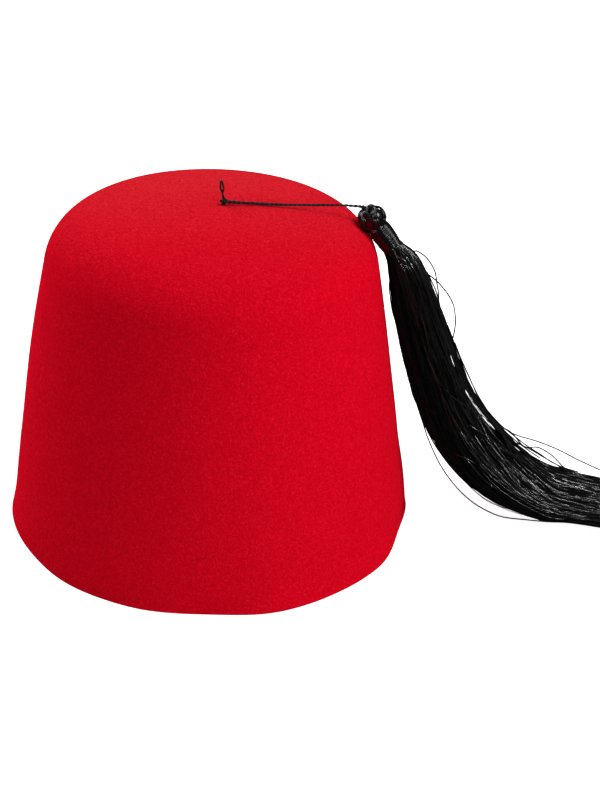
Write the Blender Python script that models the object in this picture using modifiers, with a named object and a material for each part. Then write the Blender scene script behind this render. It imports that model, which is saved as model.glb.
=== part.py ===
"""Fez hat with a long tassel, at its real size in metres.

+Z is up and the origin is the centre of the rim, on the surface that the hat stands on.
-Y is the front. The tassel hangs over the +X side and its free end lies on the surface.
"""

import bmesh
import bpy
from math import acos, atan2, cos, degrees, hypot, pi, radians, sin, sqrt
from mathutils import Matrix, Vector

# Crown: one blocked felt body, hollow and open below.
RIM_RADIUS = 0.0950
SIDE_FOOT_RADIUS = 0.0942      # the side's own radius at the rim, without the flare
SHOULDER_LINE_RADIUS = 0.0728  # where the side and the top would meet without a shoulder
CROWN_HEIGHT = 0.1560
DOME_RISE = 0.0085
SHOULDER_ROUND = 0.0262
SIDE_BULGE = 0.0013
SIDE_ROW_POWER = 0.8           # below 1, the side's rows are closer together near the rim
FLARE_HEIGHT = 0.0180
FELT = 0.0025
INNER_FIRST_ROW = 0.0020       # height above which the inner face has its own rows
CROWN_SEGMENTS = 64
STEM_HOLE_SIDES = 16

# The body is not quite round: how far it stands out of the turned form, in metres.
WAVE_HEIGHTS = (0.0, 0.014, 0.045, 0.085, 0.135)   # heights of the columns, the third and last at 0
# azimuth from +X in degrees, at the rim's edge, in the band above it, half way up the side
WAVE = (
    (-178.0, 0.0003, 0.0000, 0.0005),
    (-150.0, -0.0010, -0.0004, 0.0002),
    (-132.0, 0.0000, 0.0000, 0.0000),
    (-112.0, -0.0003, 0.0000, 0.0000),
    (-92.0, -0.0015, -0.0004, 0.0000),
    (-70.0, 0.0015, 0.0006, 0.0000),
    (-52.0, 0.0010, 0.0006, 0.0000),
    (-36.0, 0.0013, 0.0008, 0.0000),
    (-16.0, -0.0015, 0.0004, -0.0002),
    (2.0, 0.0010, 0.0014, -0.0003),
    (40.0, 0.0002, 0.0004, -0.0002),
    (90.0, -0.0006, -0.0003, 0.0000),
    (140.0, 0.0002, 0.0000, 0.0003),
)

# Loop and knots on one stem, through a snug hole in the felt.
STEM_X = 0.0048
STEM_Y = -0.0010
STEM_RADIUS = 0.0008
FOOT_KNOT_RADIUS = 0.0015
FOOT_KNOT_HEIGHT = 0.0024
INNER_KNOT_RADIUS = 0.0024
INNER_KNOT_HEIGHT = 0.0016
LOOP_THREAD = 0.0009
LOOP_NECK = 0.0022             # twisted stretch between the foot knot and the eye
LOOP_NECK_RADIUS = 0.0010
LOOP_NECK_BEVEL = 0.0003
LOOP_LENGTH = 0.0072
LOOP_WIDTH = 0.0019            # between the thread's two middles
LEG_SPREAD = 0.0005            # half of that where the legs meet the twisted neck
LEG_OPENS_BY = 0.7             # share of a leg's height at which the eye has its full width
LOOP_LEAN = -0.0012            # how far the loop's tip leans along X
LEG_POINTS = 7
TIP_POINTS = 6
STEM_SIDES = 16

# Cord: from the foot knot over the felt to the ball.
CORD_DIAMETER = 0.0014
CORD_SPACING = 0.0035
ROUTE_STEPS = 400              # fine steps that a smooth route is measured in
CORD_ROUTE = (
    (0.0067, -0.0009, 0.15742),
    (0.0100, -0.0008, 0.15728),
    (0.0140, -0.0006, 0.15708),
    (0.0190, -0.0003, 0.15678),
    (0.0250, -0.0001, 0.15645),
    (0.0310, 0.0002, 0.15618),
    (0.0370, 0.0005, 0.15602),
    (0.0430, 0.0008, 0.15594),
    (0.0490, 0.0011, 0.15590),
    (0.0540, 0.0013, 0.15584),
    (0.0590, 0.0015, 0.15570),
    (0.0630, 0.0017, 0.15534),
    (0.0668, 0.0019, 0.15478),
)

# Tassel head: ball, neck and threads share one axis.
BALL_CENTRE = Vector((0.0715, 0.0010, 0.1494))
NECK_END = Vector((0.0820, -0.0012, 0.1359))
BALL_RADIUS = 0.0061
BALL_FOOT = 0.0043             # the ball is flat where the neck meets it
NECK_TOP_RADIUS = 0.0056
NECK_END_RADIUS = 0.0047
NECK_WALL = 0.0013
NECK_BEVEL = 0.0004
NECK_CONE_FROM = 0.25          # share of the neck's length, from its end, where it widens
BALL_ROWS = 12
HEAD_SIDES = 24
GAP = 0.0003                   # between pieces that touch

# Skirt of threads: a row for each section of its centre line.
# x, y, z, half thickness across the fall, half width in depth
SKIRT_SECTIONS = (
    (0.0836, -0.0015, 0.1337, 0.0053, 0.0053),
    (0.0862, -0.0019, 0.1298, 0.0068, 0.0072),
    (0.0888, -0.0022, 0.1236, 0.0082, 0.0088),
    (0.0910, -0.0024, 0.1163, 0.0091, 0.0095),
    (0.0957, -0.0026, 0.1011, 0.0107, 0.0100),
    (0.1007, -0.0028, 0.0860, 0.0117, 0.0103),
    (0.1066, -0.0032, 0.0705, 0.0126, 0.0108),
    (0.1143, -0.0040, 0.0545, 0.0138, 0.0122),
    (0.1248, -0.0052, 0.0385, 0.0152, 0.0146),
    (0.1415, -0.0063, 0.0220, 0.0145, 0.0178),
    (0.1595, -0.0072, 0.0126, 0.0112, 0.0212),
    (0.1743, -0.0094, 0.0104, 0.0087, 0.0202),
    (0.1885, -0.0120, 0.0089, 0.0075, 0.0195),
    (0.2045, -0.0138, 0.0080, 0.0073, 0.0198),
    (0.2170, -0.0148, 0.0078, 0.0071, 0.0204),
)
CORE_SHARE = 0.86              # the core inside the locks, as a share of the section
CORE_LAST = 0.94               # where along the skirt the core ends
CORE_SIDES = 20
CORE_RINGS = 22
CORE_STEP = 0.0001             # length in which the core widens below the neck
SLOPE_STEP = 0.01              # share of the skirt's length between points read for its slope
LOCKS = 13
LOCK_POINTS = 19
LOCK_SIT = 0.80                # a lock's middle, as a share of the section
LOCK_FULLNESS = 1.25           # lock width over its share of the section's edge
LOCK_STANDS_OUT = 1.5          # most of a lock's radius, over the room outside its middle
LOCK_TIP_SHARE = 0.25          # tip radius over the lock's full radius
LOCK_TAPER_FROM = 0.86         # where along a lock its tip begins
LOCK_LENGTHS = (0.97, 1.00, 0.95, 0.99, 0.96)   # repeated round the skirt

FELT_RED = (0.62, 0.006, 0.018, 1.0)
SILK_BLACK = (0.006, 0.006, 0.007, 1.0)


def new_collection(name):
    collection = bpy.data.collections.new(name)
    bpy.context.scene.collection.children.link(collection)
    return collection


def material(name, colour, roughness):
    made = bpy.data.materials.new(name)
    made.use_nodes = True
    shader = made.node_tree.nodes["Principled BSDF"]
    shader.inputs["Base Color"].default_value = colour
    shader.inputs["Roughness"].default_value = roughness
    shader.inputs["Metallic"].default_value = 0.0
    return made


def add_object(name, data, collection, finish=None):
    made = bpy.data.objects.new(name, data)
    collection.objects.link(made)
    if finish is not None:
        data.materials.append(finish)
    return made


def baked(source, name, collection):
    """A mesh object holding what `source` evaluates to; the source is removed."""
    graph = bpy.context.evaluated_depsgraph_get()
    mesh = bpy.data.meshes.new_from_object(source.evaluated_get(graph))
    work = bmesh.new()
    work.from_mesh(mesh)
    bmesh.ops.remove_doubles(work, verts=work.verts, dist=1e-6)
    bmesh.ops.recalc_face_normals(work, faces=work.faces)
    work.to_mesh(mesh)
    work.free()
    mesh.name = name
    mesh.materials.clear()
    place = source.matrix_world.copy()
    bpy.data.objects.remove(source)
    made = add_object(name, mesh, collection)
    made.matrix_world = place
    return made


def turned(name, profile, segments, collection):
    """A profile of (radius, height) rows, outer side first and top to bottom, turned about Z."""
    mesh = bpy.data.meshes.new(name)
    edges = [(i, (i + 1) % len(profile)) for i in range(len(profile))]
    if profile[0][0] == 0.0 and profile[-1][0] == 0.0:
        edges.pop()
    mesh.from_pydata([(r, 0.0, z) for r, z in profile], edges, [])
    made = add_object(name, mesh, collection)
    screw = made.modifiers.new("turn", "SCREW")
    screw.axis = "Z"
    screw.steps = segments
    screw.render_steps = segments
    screw.use_merge_vertices = True
    screw.merge_threshold = 1e-5
    bpy.context.view_layer.update()
    return baked(made, name, collection)


def tube(name, points, diameter, collection, radii=None):
    """A round tube through `points`, as a mesh, with `radii` as shares of its radius."""
    curve = bpy.data.curves.new(name, "CURVE")
    curve.dimensions = "3D"
    curve.bevel_depth = diameter / 2
    curve.bevel_resolution = 2
    curve.use_fill_caps = True
    spline = curve.splines.new("POLY")
    spline.points.add(len(points) - 1)
    for index, point in enumerate(points):
        spline.points[index].co = (*point, 1.0)
        if radii is not None:
            spline.points[index].radius = radii[index]
    made = add_object(name, curve, collection)
    bpy.context.view_layer.update()
    return baked(made, name, collection)


def combine(target, tool, operation):
    """An exact Boolean kept on `target`, with `tool` left as a hidden guide."""
    tool.hide_render = True
    tool.display_type = "WIRE"
    change = target.modifiers.new(operation.lower(), "BOOLEAN")
    change.operation = operation
    change.solver = "EXACT"
    change.object = tool


def smooth_shade(made, angle=40.0):
    made.data.shade_smooth()
    made.data.set_sharp_from_angle(angle=radians(angle))


def row_at(table, share):
    """A table's columns at `share` of its length, on a smooth curve through its rows."""
    position = min(max(share, 0.0), 1.0) * (len(table) - 1)
    first = min(int(position), len(table) - 2)
    t = position - first
    before = table[max(first - 1, 0)]
    start, end = table[first], table[first + 1]
    after = table[min(first + 2, len(table) - 1)]
    values = []
    for a, b, c, d in zip(before, start, end, after):
        values.append(0.5 * (2 * b + (c - a) * t + (2 * a - 5 * b + 4 * c - d) * t * t
                             + (3 * b - a - 3 * c + d) * t ** 3))
    return values


def evenly_spaced(route, spacing):
    """Points along a smooth curve through `route`, about `spacing` apart."""
    fine = [Vector(row_at(route, i / ROUTE_STEPS)) for i in range(ROUTE_STEPS + 1)]
    length = sum((b - a).length for a, b in zip(fine, fine[1:]))
    count = max(2, round(length / spacing))
    points = [fine[0]]
    walked = 0.0
    for a, b in zip(fine, fine[1:]):
        walked += (b - a).length
        if walked >= length * len(points) / count - 1e-9 and len(points) < count:
            points.append(b)
    points.append(fine[-1])
    return points


# ---------------------------------------------------------------- crown

def dome_sphere_radius():
    return (SHOULDER_LINE_RADIUS ** 2 + DOME_RISE ** 2) / (2 * DOME_RISE)


def shoulder_centre():
    """Centre of the round that touches both the side's line and the dome."""
    sphere = dome_sphere_radius()
    along = Vector((SHOULDER_LINE_RADIUS - SIDE_FOOT_RADIUS, CROWN_HEIGHT - DOME_RISE)).normalized()
    outward = Vector((along.y, -along.x))
    start = Vector((SIDE_FOOT_RADIUS, 0.0)) - SHOULDER_ROUND * outward
    from_dome = start - Vector((0.0, CROWN_HEIGHT - sphere))
    half = from_dome.dot(along)
    reach = sqrt(half ** 2 - from_dome.length_squared + (sphere - SHOULDER_ROUND) ** 2) - half
    return start + reach * along, outward


def outer_profile(side_rows, shoulder_rows, dome_rows):
    """(radius, height) from the top's middle down to the rim, on the felt's outer face."""
    sphere = dome_sphere_radius()
    centre, outward = shoulder_centre()
    sphere_height = CROWN_HEIGHT - sphere
    low_angle = atan2(outward.y, outward.x)
    high_angle = atan2(centre.y - sphere_height, centre.x)
    dome_edge = sphere * cos(high_angle)
    rows = []
    for i in range(dome_rows):
        radius = dome_edge * i / dome_rows
        rows.append((radius, sphere_height + sqrt(sphere ** 2 - radius ** 2)))
    for i in range(shoulder_rows):
        angle = high_angle + (low_angle - high_angle) * i / shoulder_rows
        rows.append((centre.x + SHOULDER_ROUND * cos(angle), centre.y + SHOULDER_ROUND * sin(angle)))
    side_top = centre + SHOULDER_ROUND * outward
    for i in range(side_rows + 1):
        down = (i / side_rows) ** SIDE_ROW_POWER
        swell = SIDE_BULGE * 4 * down * (1 - down)
        height = side_top.y * (1 - down)
        flare = (RIM_RADIUS - SIDE_FOOT_RADIUS) * max(0.0, 1 - height / FLARE_HEIGHT) ** 2
        radius = side_top.x + (SIDE_FOOT_RADIUS - side_top.x) * down + swell + flare
        rows.append((radius, height))
    return rows


def inner_profile(outer):
    """The outer profile moved in by the felt's thickness, from the rim up to the middle."""
    rows = []
    for i in range(len(outer) - 2, 0, -1):
        (r0, z0), (r1, z1) = outer[i - 1], outer[i + 1]
        run = hypot(r1 - r0, z1 - z0)
        inward = Vector((z1 - z0, r0 - r1)) / run
        rows.append((outer[i][0] + inward.x * FELT, outer[i][1] + inward.y * FELT))
    foot = (outer[-1][0] - FELT, 0.0)
    above = [row for row in rows if row[1] > INNER_FIRST_ROW]
    return [foot] + above + [(0.0, CROWN_HEIGHT - FELT)]


def eased(rows, position):
    """The values between the two rows that `position` falls between, with a soft start and end."""
    for low, high in zip(rows, rows[1:]):
        if low[0] <= position <= high[0]:
            share = (1 - cos(pi * (position - low[0]) / (high[0] - low[0]))) / 2
            return [a + (b - a) * share for a, b in zip(low[1:], high[1:])]
    return [0.0] * (len(rows[0]) - 1)


def wave(azimuth, height):
    """How far the body stands out of the turned form, at `azimuth` in degrees."""
    first, last = WAVE[0], WAVE[-1]
    turned_once = [(last[0] - 360.0, *last[1:]), *WAVE, (first[0] + 360.0, *first[1:])]
    edge, band, middle = eased(turned_once, azimuth)
    return eased(list(zip(WAVE_HEIGHTS, (edge, band, 0.0, middle, 0.0))), height)[0]


def surface_height(x, y):
    """Height of the felt's outer face on the domed top."""
    sphere = dome_sphere_radius()
    return CROWN_HEIGHT - sphere + sqrt(sphere ** 2 - x ** 2 - y ** 2)


def build_crown(parts, cutters, felt):
    outer = outer_profile(side_rows=9, shoulder_rows=7, dome_rows=3)
    inner = inner_profile(outer_profile(side_rows=5, shoulder_rows=5, dome_rows=3))
    crown = turned("crown", outer + inner, CROWN_SEGMENTS, parts)
    for vertex in crown.data.vertices:
        radius = hypot(vertex.co.x, vertex.co.y)
        azimuth = degrees(atan2(vertex.co.y, vertex.co.x))
        grow = 1 + wave(azimuth, vertex.co.z) / max(radius, FELT)
        vertex.co.x *= grow
        vertex.co.y *= grow
    crown.data.materials.append(felt)
    bpy.ops.mesh.primitive_cylinder_add(
        vertices=STEM_HOLE_SIDES, radius=STEM_RADIUS + GAP, depth=4 * FELT,
        location=(STEM_X, STEM_Y, surface_height(STEM_X, STEM_Y)))
    cutter = bpy.context.object
    cutter.name = "stem_hole"
    move_to(cutter, cutters)
    combine(crown, cutter, "DIFFERENCE")
    smooth_shade(crown, 50.0)
    return crown


def move_to(made, collection):
    for other in list(made.users_collection):
        other.objects.unlink(made)
    collection.objects.link(made)


# ---------------------------------------------------------------- stem and loop

def knot_rows(middle, radius, tall):
    """The rounded side of a knot on the stem, top to bottom."""
    return [(radius * cos(radians(angle)), middle + tall / 2 * sin(radians(angle)))
            for angle in (50, 25, 0, -25, -50)]


def loop_route(foot):
    """The loop's thread: up one leg, round the tip and down the other leg."""
    half = LOOP_WIDTH / 2
    straight = LOOP_LENGTH - half
    leg = []
    for i in range(LEG_POINTS):
        share = i / LEG_POINTS
        spread = (1 - cos(pi * min(1.0, share / LEG_OPENS_BY))) / 2
        leg.append((LEG_SPREAD + (half - LEG_SPREAD) * spread, straight * share))
    tip = [(half * cos(pi * i / TIP_POINTS), straight + half * sin(pi * i / TIP_POINTS))
           for i in range(TIP_POINTS + 1)]
    outline = leg + tip + [(-across, up) for across, up in reversed(leg)]
    return [Vector((STEM_X + across + LOOP_LEAN * up / LOOP_LENGTH, STEM_Y, foot + up))
            for across, up in outline]


def build_stem_loop(parts, cutters, silk):
    """Knot under the felt, shank, foot knot and twisted neck are one turned body."""
    felt_top = surface_height(STEM_X, STEM_Y)
    foot_middle = felt_top + GAP + FOOT_KNOT_HEIGHT / 2
    inner_middle = felt_top - FELT - GAP - INNER_KNOT_HEIGHT / 2
    neck_foot = foot_middle + FOOT_KNOT_HEIGHT / 2
    neck_top = neck_foot + LOOP_NECK
    profile = [
        (0.0, neck_top),
        (LOOP_NECK_RADIUS - LOOP_NECK_BEVEL, neck_top),
        (LOOP_NECK_RADIUS, neck_top - LOOP_NECK_BEVEL),
        (LOOP_NECK_RADIUS, neck_foot),
    ]
    profile += knot_rows(foot_middle, FOOT_KNOT_RADIUS, FOOT_KNOT_HEIGHT)
    profile += [(STEM_RADIUS, felt_top), (STEM_RADIUS, felt_top - FELT)]
    profile += knot_rows(inner_middle, INNER_KNOT_RADIUS, INNER_KNOT_HEIGHT)
    profile += [(0.0, inner_middle - INNER_KNOT_HEIGHT / 2)]
    stem = turned("stem_loop", profile, STEM_SIDES, parts)
    stem.data.transform(Matrix.Translation((STEM_X, STEM_Y, 0.0)))
    stem.data.materials.append(silk)
    eye = tube("loop_eye", loop_route(neck_top - LOOP_THREAD), LOOP_THREAD, cutters)
    combine(stem, eye, "UNION")
    smooth_shade(stem)
    return stem


# ---------------------------------------------------------------- cord and tassel

def build_cord(parts, silk):
    cord = tube("tassel_cord", evenly_spaced(CORD_ROUTE, CORD_SPACING), CORD_DIAMETER, parts)
    cord.data.materials.append(silk)
    smooth_shade(cord)
    return cord


def head_axis():
    return (NECK_END - BALL_CENTRE).normalized()


def stand_on_axis(made, distance):
    """Put a piece turned about +Z on the head's axis, +Z towards the ball."""
    made.location = BALL_CENTRE + distance * head_axis()
    made.rotation_mode = "QUATERNION"
    made.rotation_quaternion = (-head_axis()).to_track_quat("Z", "Y")


def build_ball(parts, silk):
    profile = []
    last = acos(-BALL_FOOT / BALL_RADIUS)
    for i in range(BALL_ROWS):
        angle = last * i / (BALL_ROWS - 1)
        profile.append((BALL_RADIUS * sin(angle), BALL_RADIUS * cos(angle)))
    profile.append((0.0, -BALL_FOOT))
    ball = turned("tassel_knot", profile, HEAD_SIDES, parts)
    ball.data.materials.append(silk)
    stand_on_axis(ball, 0.0)
    smooth_shade(ball)
    return ball


def build_neck(parts, silk):
    length = (NECK_END - BALL_CENTRE).length - BALL_FOOT - GAP
    profile = (
        (NECK_TOP_RADIUS - NECK_BEVEL, length),
        (NECK_TOP_RADIUS, length - NECK_BEVEL),
        (NECK_END_RADIUS, NECK_CONE_FROM * length),
        (NECK_END_RADIUS, NECK_BEVEL),
        (NECK_END_RADIUS - NECK_BEVEL, 0.0),
        (NECK_END_RADIUS - NECK_WALL, 0.0),
        (NECK_END_RADIUS - NECK_WALL, length),
    )
    neck = turned("neck_binding", profile, HEAD_SIDES, parts)
    neck.data.materials.append(silk)
    stand_on_axis(neck, (NECK_END - BALL_CENTRE).length)
    smooth_shade(neck)
    return neck


def section_frame(share):
    """Centre, across, depth, half thickness and half width of the skirt at `share`."""
    x, y, z, across_half, depth_half = row_at(SKIRT_SECTIONS, share)
    ahead = Vector(row_at(SKIRT_SECTIONS, share + SLOPE_STEP)[:3])
    behind = Vector(row_at(SKIRT_SECTIONS, share - SLOPE_STEP)[:3])
    along = (ahead - behind).normalized()
    depth = Vector((0.0, 1.0, 0.0))
    depth = (depth - depth.dot(along) * along).normalized()
    across = depth.cross(along).normalized()
    return Vector((x, y, z)), across, depth, across_half, depth_half


def skirt_core():
    """The head inside the neck and the full bundle behind the locks, as one loft."""
    axis = head_axis()
    across = Vector((0.0, 1.0, 0.0)).cross(axis).normalized()
    depth = axis.cross(across).normalized()
    depth = depth if depth.y > 0 else -depth
    head_radius = NECK_END_RADIUS - NECK_WALL - GAP
    neck_start = BALL_CENTRE + (BALL_FOOT + 2 * GAP) * axis
    widens = NECK_END + GAP * axis
    rings = [
        (neck_start, across, depth, head_radius, head_radius),
        (widens, across, depth, head_radius, head_radius),
        (widens + CORE_STEP * axis, across, depth, NECK_END_RADIUS, NECK_END_RADIUS),
    ]
    for i in range(CORE_RINGS):
        centre, side, back, half, wide = section_frame(CORE_LAST * i / (CORE_RINGS - 1))
        rings.append((centre, side, back, half * CORE_SHARE, wide * CORE_SHARE))
    work = bmesh.new()
    loops = []
    for centre, side, back, half, wide in rings:
        loops.append([work.verts.new(centre + half * cos(2 * pi * k / CORE_SIDES) * side
                                     + wide * sin(2 * pi * k / CORE_SIDES) * back)
                      for k in range(CORE_SIDES)])
    for low, high in zip(loops, loops[1:]):
        for k in range(CORE_SIDES):
            after = (k + 1) % CORE_SIDES
            work.faces.new((low[k], low[after], high[after], high[k]))
    work.faces.new(list(reversed(loops[0])))
    work.faces.new(loops[-1])
    bmesh.ops.recalc_face_normals(work, faces=work.faces)
    mesh = bpy.data.meshes.new("tassel_skirt")
    work.to_mesh(mesh)
    work.free()
    return mesh


def build_lock(index, collection):
    """One lock: a tube along the skirt, a little outside the core, tapering to its tip."""
    angle = 2 * pi * (index + 0.5) / LOCKS
    end = LOCK_LENGTHS[index % len(LOCK_LENGTHS)]
    points, radii = [], []
    for i in range(LOCK_POINTS):
        share = i / (LOCK_POINTS - 1)
        centre, across, depth, half, wide = section_frame(end * share)
        edge = pi * (half + wide) * LOCK_SIT / LOCKS
        point = centre + LOCK_SIT * (half * cos(angle) * across + wide * sin(angle) * depth)
        room = hypot(half * cos(angle), wide * sin(angle)) * (1 - LOCK_SIT)
        tip = max(0.0, (share - LOCK_TAPER_FROM) / (1 - LOCK_TAPER_FROM))
        full = min((edge * LOCK_FULLNESS + room) / 2, room * LOCK_STANDS_OUT)
        radius = full * (1 - (1 - LOCK_TIP_SHARE) * tip)
        points.append(point)
        radii.append(radius)
    return tube(f"lock_{index:02d}", points, 2.0, collection, radii=radii)


def build_skirt(parts, cutters, silk):
    skirt = add_object("tassel_skirt", skirt_core(), parts, silk)
    for index in range(LOCKS):
        combine(skirt, build_lock(index, cutters), "UNION")
    smooth_shade(skirt)
    return skirt


def main():
    for old in list(bpy.data.objects):
        bpy.data.objects.remove(old)
    parts = new_collection("fez_hat")
    cutters = new_collection("fez_hat_cutters")
    felt = material("felt", FELT_RED, 0.95)
    silk = material("silk", SILK_BLACK, 0.40)
    build_crown(parts, cutters, felt)
    build_stem_loop(parts, cutters, silk)
    build_cord(parts, silk)
    build_ball(parts, silk)
    build_neck(parts, silk)
    build_skirt(parts, cutters, silk)


main()
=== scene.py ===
"""Fez hat with a long tassel: felt, twisted cord, woven knot and loose silk threads.

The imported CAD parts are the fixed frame. Every piece made here is a surface worked out
in the same coordinates: metres, +Z up, origin at the middle of the rim, on the surface
that the hat stands on. -Y is the front.
"""

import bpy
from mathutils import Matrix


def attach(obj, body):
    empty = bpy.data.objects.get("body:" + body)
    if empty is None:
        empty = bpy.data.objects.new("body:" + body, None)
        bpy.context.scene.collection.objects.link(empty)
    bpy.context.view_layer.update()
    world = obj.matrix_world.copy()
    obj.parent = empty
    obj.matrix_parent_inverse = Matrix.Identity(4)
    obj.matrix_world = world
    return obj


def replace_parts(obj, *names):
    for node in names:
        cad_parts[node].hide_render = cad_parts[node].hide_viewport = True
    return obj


bl_info = {
    "name": "Fez Hat with Tassel",
    "version": (1, 0, 0),
    "blender": (4, 5, 0),
    "location": "3D View > Sidebar > Fez Hat",
    "description": "Makes the felt, cord, knot and silk threads of a fez hat",
    "category": "Object",
}

import bpy
import numpy as np
from bpy.props import (FloatProperty, FloatVectorProperty, IntProperty,
                       PointerProperty)
from mathutils import Matrix

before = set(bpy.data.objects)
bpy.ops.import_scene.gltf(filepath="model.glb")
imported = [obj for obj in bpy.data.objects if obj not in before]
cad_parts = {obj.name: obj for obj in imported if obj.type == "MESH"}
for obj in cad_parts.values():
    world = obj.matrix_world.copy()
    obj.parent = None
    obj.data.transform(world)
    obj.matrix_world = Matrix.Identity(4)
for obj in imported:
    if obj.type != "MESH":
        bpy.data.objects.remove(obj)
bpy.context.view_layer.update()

BODY = "root"
MM = 0.001

# ------------------------------------------------------------------ shape values

# Crown: the CAD part's own form.
RIM_RADIUS = 0.0950
SIDE_FOOT_RADIUS = 0.0942
SHOULDER_LINE_RADIUS = 0.0728
CROWN_HEIGHT = 0.1560
DOME_RISE = 0.0085
SHOULDER_ROUND = 0.0262
SIDE_BULGE = 0.0013
FLARE_HEIGHT = 0.0180
DOME_SPHERE = (SHOULDER_LINE_RADIUS ** 2 + DOME_RISE ** 2) / (2 * DOME_RISE)
# The sides' waves: azimuth in degrees, then how far the felt stands out at the first, the
# second and the fourth of these heights. At the third and the last it stands true.
WAVE_HEIGHTS = (0.0, 0.014, 0.045, 0.085, 0.135)
WAVE = (
    (-178.0, 0.0003, 0.0000, 0.0005),
    (-150.0, -0.0010, -0.0004, 0.0002),
    (-132.0, 0.0000, 0.0000, 0.0000),
    (-112.0, -0.0003, 0.0000, 0.0000),
    (-92.0, -0.0015, -0.0004, 0.0000),
    (-70.0, 0.0015, 0.0006, 0.0000),
    (-52.0, 0.0010, 0.0006, 0.0000),
    (-36.0, 0.0013, 0.0008, 0.0000),
    (-16.0, -0.0015, 0.0004, -0.0002),
    (2.0, 0.0010, 0.0014, -0.0003),
    (40.0, 0.0002, 0.0004, -0.0002),
    (90.0, -0.0006, -0.0003, 0.0000),
    (140.0, 0.0002, 0.0000, 0.0003),
)

# Crown's mesh: rows on the dome, the round and the side of each face, and corners round.
CROWN_SEGMENTS = 320
OUTER_ROWS = (46, 34, 120)
INNER_ROWS = (30, 20, 50)
EDGE_ROUND = 0.0006            # height of the cut edge's round
INNER_FOOT = 0.0015            # height above which the inner face has rows of its own
ROUND_WITHIN = 0.02            # radius within which the top has no waves

# Loop: stands on the felt over the foot knot.
STEM_X = 0.0048
STEM_Y = -0.0010
LOOP_LEAN = -0.00114
LOOP_TALL = 0.0099
LOOP_HALF_WIDTH = 0.00085
LOOP_PITCH = 0.0021            # length in which its two strands turn once
LOOP_FOOT = 0.0016             # height of its foot, and of the foot knot's middle
FOOT_KNOT = (0.0039, 0.0036)   # width and height
SECOND_KNOT_TURN = 1.2         # a second knot over the first: turned about the stem,
SECOND_KNOT_SIZE = 0.86        # smaller,
SECOND_KNOT_SHIFT = (0.0002, 0.0, 0.0006)   # and moved
INNER_KNOT = (0.0046, 0.0016)  # width and height of the knot inside the crown
INNER_KNOT_DEPTH = 0.0035
SHANK = (0.0010, -0.0034)      # where the thread through the felt starts and ends
SHANK_OFFSET = 0.00034
SHANK_STRAND_RADIUS = 0.00042
TAIL_RADII = (0.00022, 0.00008)
# The foot knot's cut ends, in millimetres from the stem's place on the felt.
TAILS = (
    ((0.0, 0.0, 0.40), (-1.0, -0.5, 0.30), (-1.9, -0.6, 0.25), (-2.7, -0.4, 0.35)),
    ((0.0, 0.0, 0.50), (0.9, -0.9, 0.30), (1.6, -1.5, 0.25), (2.0, -2.1, 0.40)),
)

# Cord: the same route as the CAD part's. It is stretched clear of the felt.
CORD_DIAMETER = 0.0014
CORD_ROUTE = (
    (0.0067, -0.0009, 0.15742),
    (0.0100, -0.0008, 0.15728),
    (0.0140, -0.0006, 0.15708),
    (0.0190, -0.0003, 0.15678),
    (0.0250, -0.0001, 0.15645),
    (0.0310, 0.0002, 0.15618),
    (0.0370, 0.0005, 0.15602),
    (0.0430, 0.0008, 0.15594),
    (0.0490, 0.0011, 0.15590),
    (0.0540, 0.0013, 0.15584),
    (0.0590, 0.0015, 0.15570),
    (0.0630, 0.0017, 0.15534),
    (0.0668, 0.0019, 0.15478),
)
CORD_MOVED = (0.007, 0.056)    # X between which the twisted cord is moved off that route
CORD_MOVED_EASE = 0.012
CORD_MOVED_BY = (0.0, 0.0008, -0.0004)
CORD_START = 0.0006            # how far from the stem's middle it starts, in the foot knot
CORD_INTO_BALL = 0.4           # share of the way to the ball's middle that its end runs on
CORD_KNOT = (0.0025, 0.0022)   # width and height
CORD_KNOT_SHIFT = (0.0002, 0.0, 0.0)
CORD_KNOT_THREAD = 0.00072

# Tassel head: ball, neck and threads share one axis.
BALL_CENTRE = np.array((0.0715, 0.0010, 0.1494))
NECK_END = np.array((0.0820, -0.0012, 0.1359))
BALL_RADIUS = 0.0061
BALL_FULLNESS = 1.10           # how much fuller the woven ball is
BAND_DEPTH = 0.00055           # how deep the woven band's middle and the core lie in the ball
BALL_CORE_DEPTH = 0.00125
BAND_RISE = 0.00050            # how far the band rises and dips
END_RING = 0.0012              # length of the binding's last turns, laid over the others
END_RING_RISE = 0.00032
# The neck's radius at distances from the ball's middle.
NECK_ALONG = (0.0034, 0.0045, 0.0058, 0.0070, 0.0090, 0.0120, 0.0150, 0.0180)
NECK_RADII = (0.0042, 0.0048, 0.0051, 0.0053, 0.0053, 0.0051, 0.0048, 0.0047)

# Threads' roots inside the neck: distance back from its end, radius.
SKIRT_ROOTS = ((0.0052, 0.0034), (0.0022, 0.0037), (0.0, 0.0041))
# Skirt: x, y, z, half thickness across the fall, half width in depth.
SKIRT_SECTIONS = (
    (0.0836, -0.0015, 0.1337, 0.0053, 0.0053),
    (0.0862, -0.0019, 0.1298, 0.0068, 0.0072),
    (0.0888, -0.0022, 0.1236, 0.0082, 0.0088),
    (0.0910, -0.0024, 0.1163, 0.0091, 0.0095),
    (0.0957, -0.0026, 0.1011, 0.0107, 0.0100),
    (0.1007, -0.0028, 0.0860, 0.0117, 0.0103),
    (0.1066, -0.0032, 0.0705, 0.0126, 0.0108),
    (0.1143, -0.0040, 0.0545, 0.0138, 0.0122),
    (0.1248, -0.0052, 0.0385, 0.0152, 0.0146),
    (0.1415, -0.0063, 0.0220, 0.0145, 0.0178),
    (0.1595, -0.0072, 0.0126, 0.0112, 0.0212),
    (0.1743, -0.0094, 0.0104, 0.0087, 0.0202),
    (0.1885, -0.0120, 0.0089, 0.0075, 0.0195),
    (0.2045, -0.0138, 0.0080, 0.0073, 0.0198),
    (0.2170, -0.0148, 0.0078, 0.0071, 0.0204),
)

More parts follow.
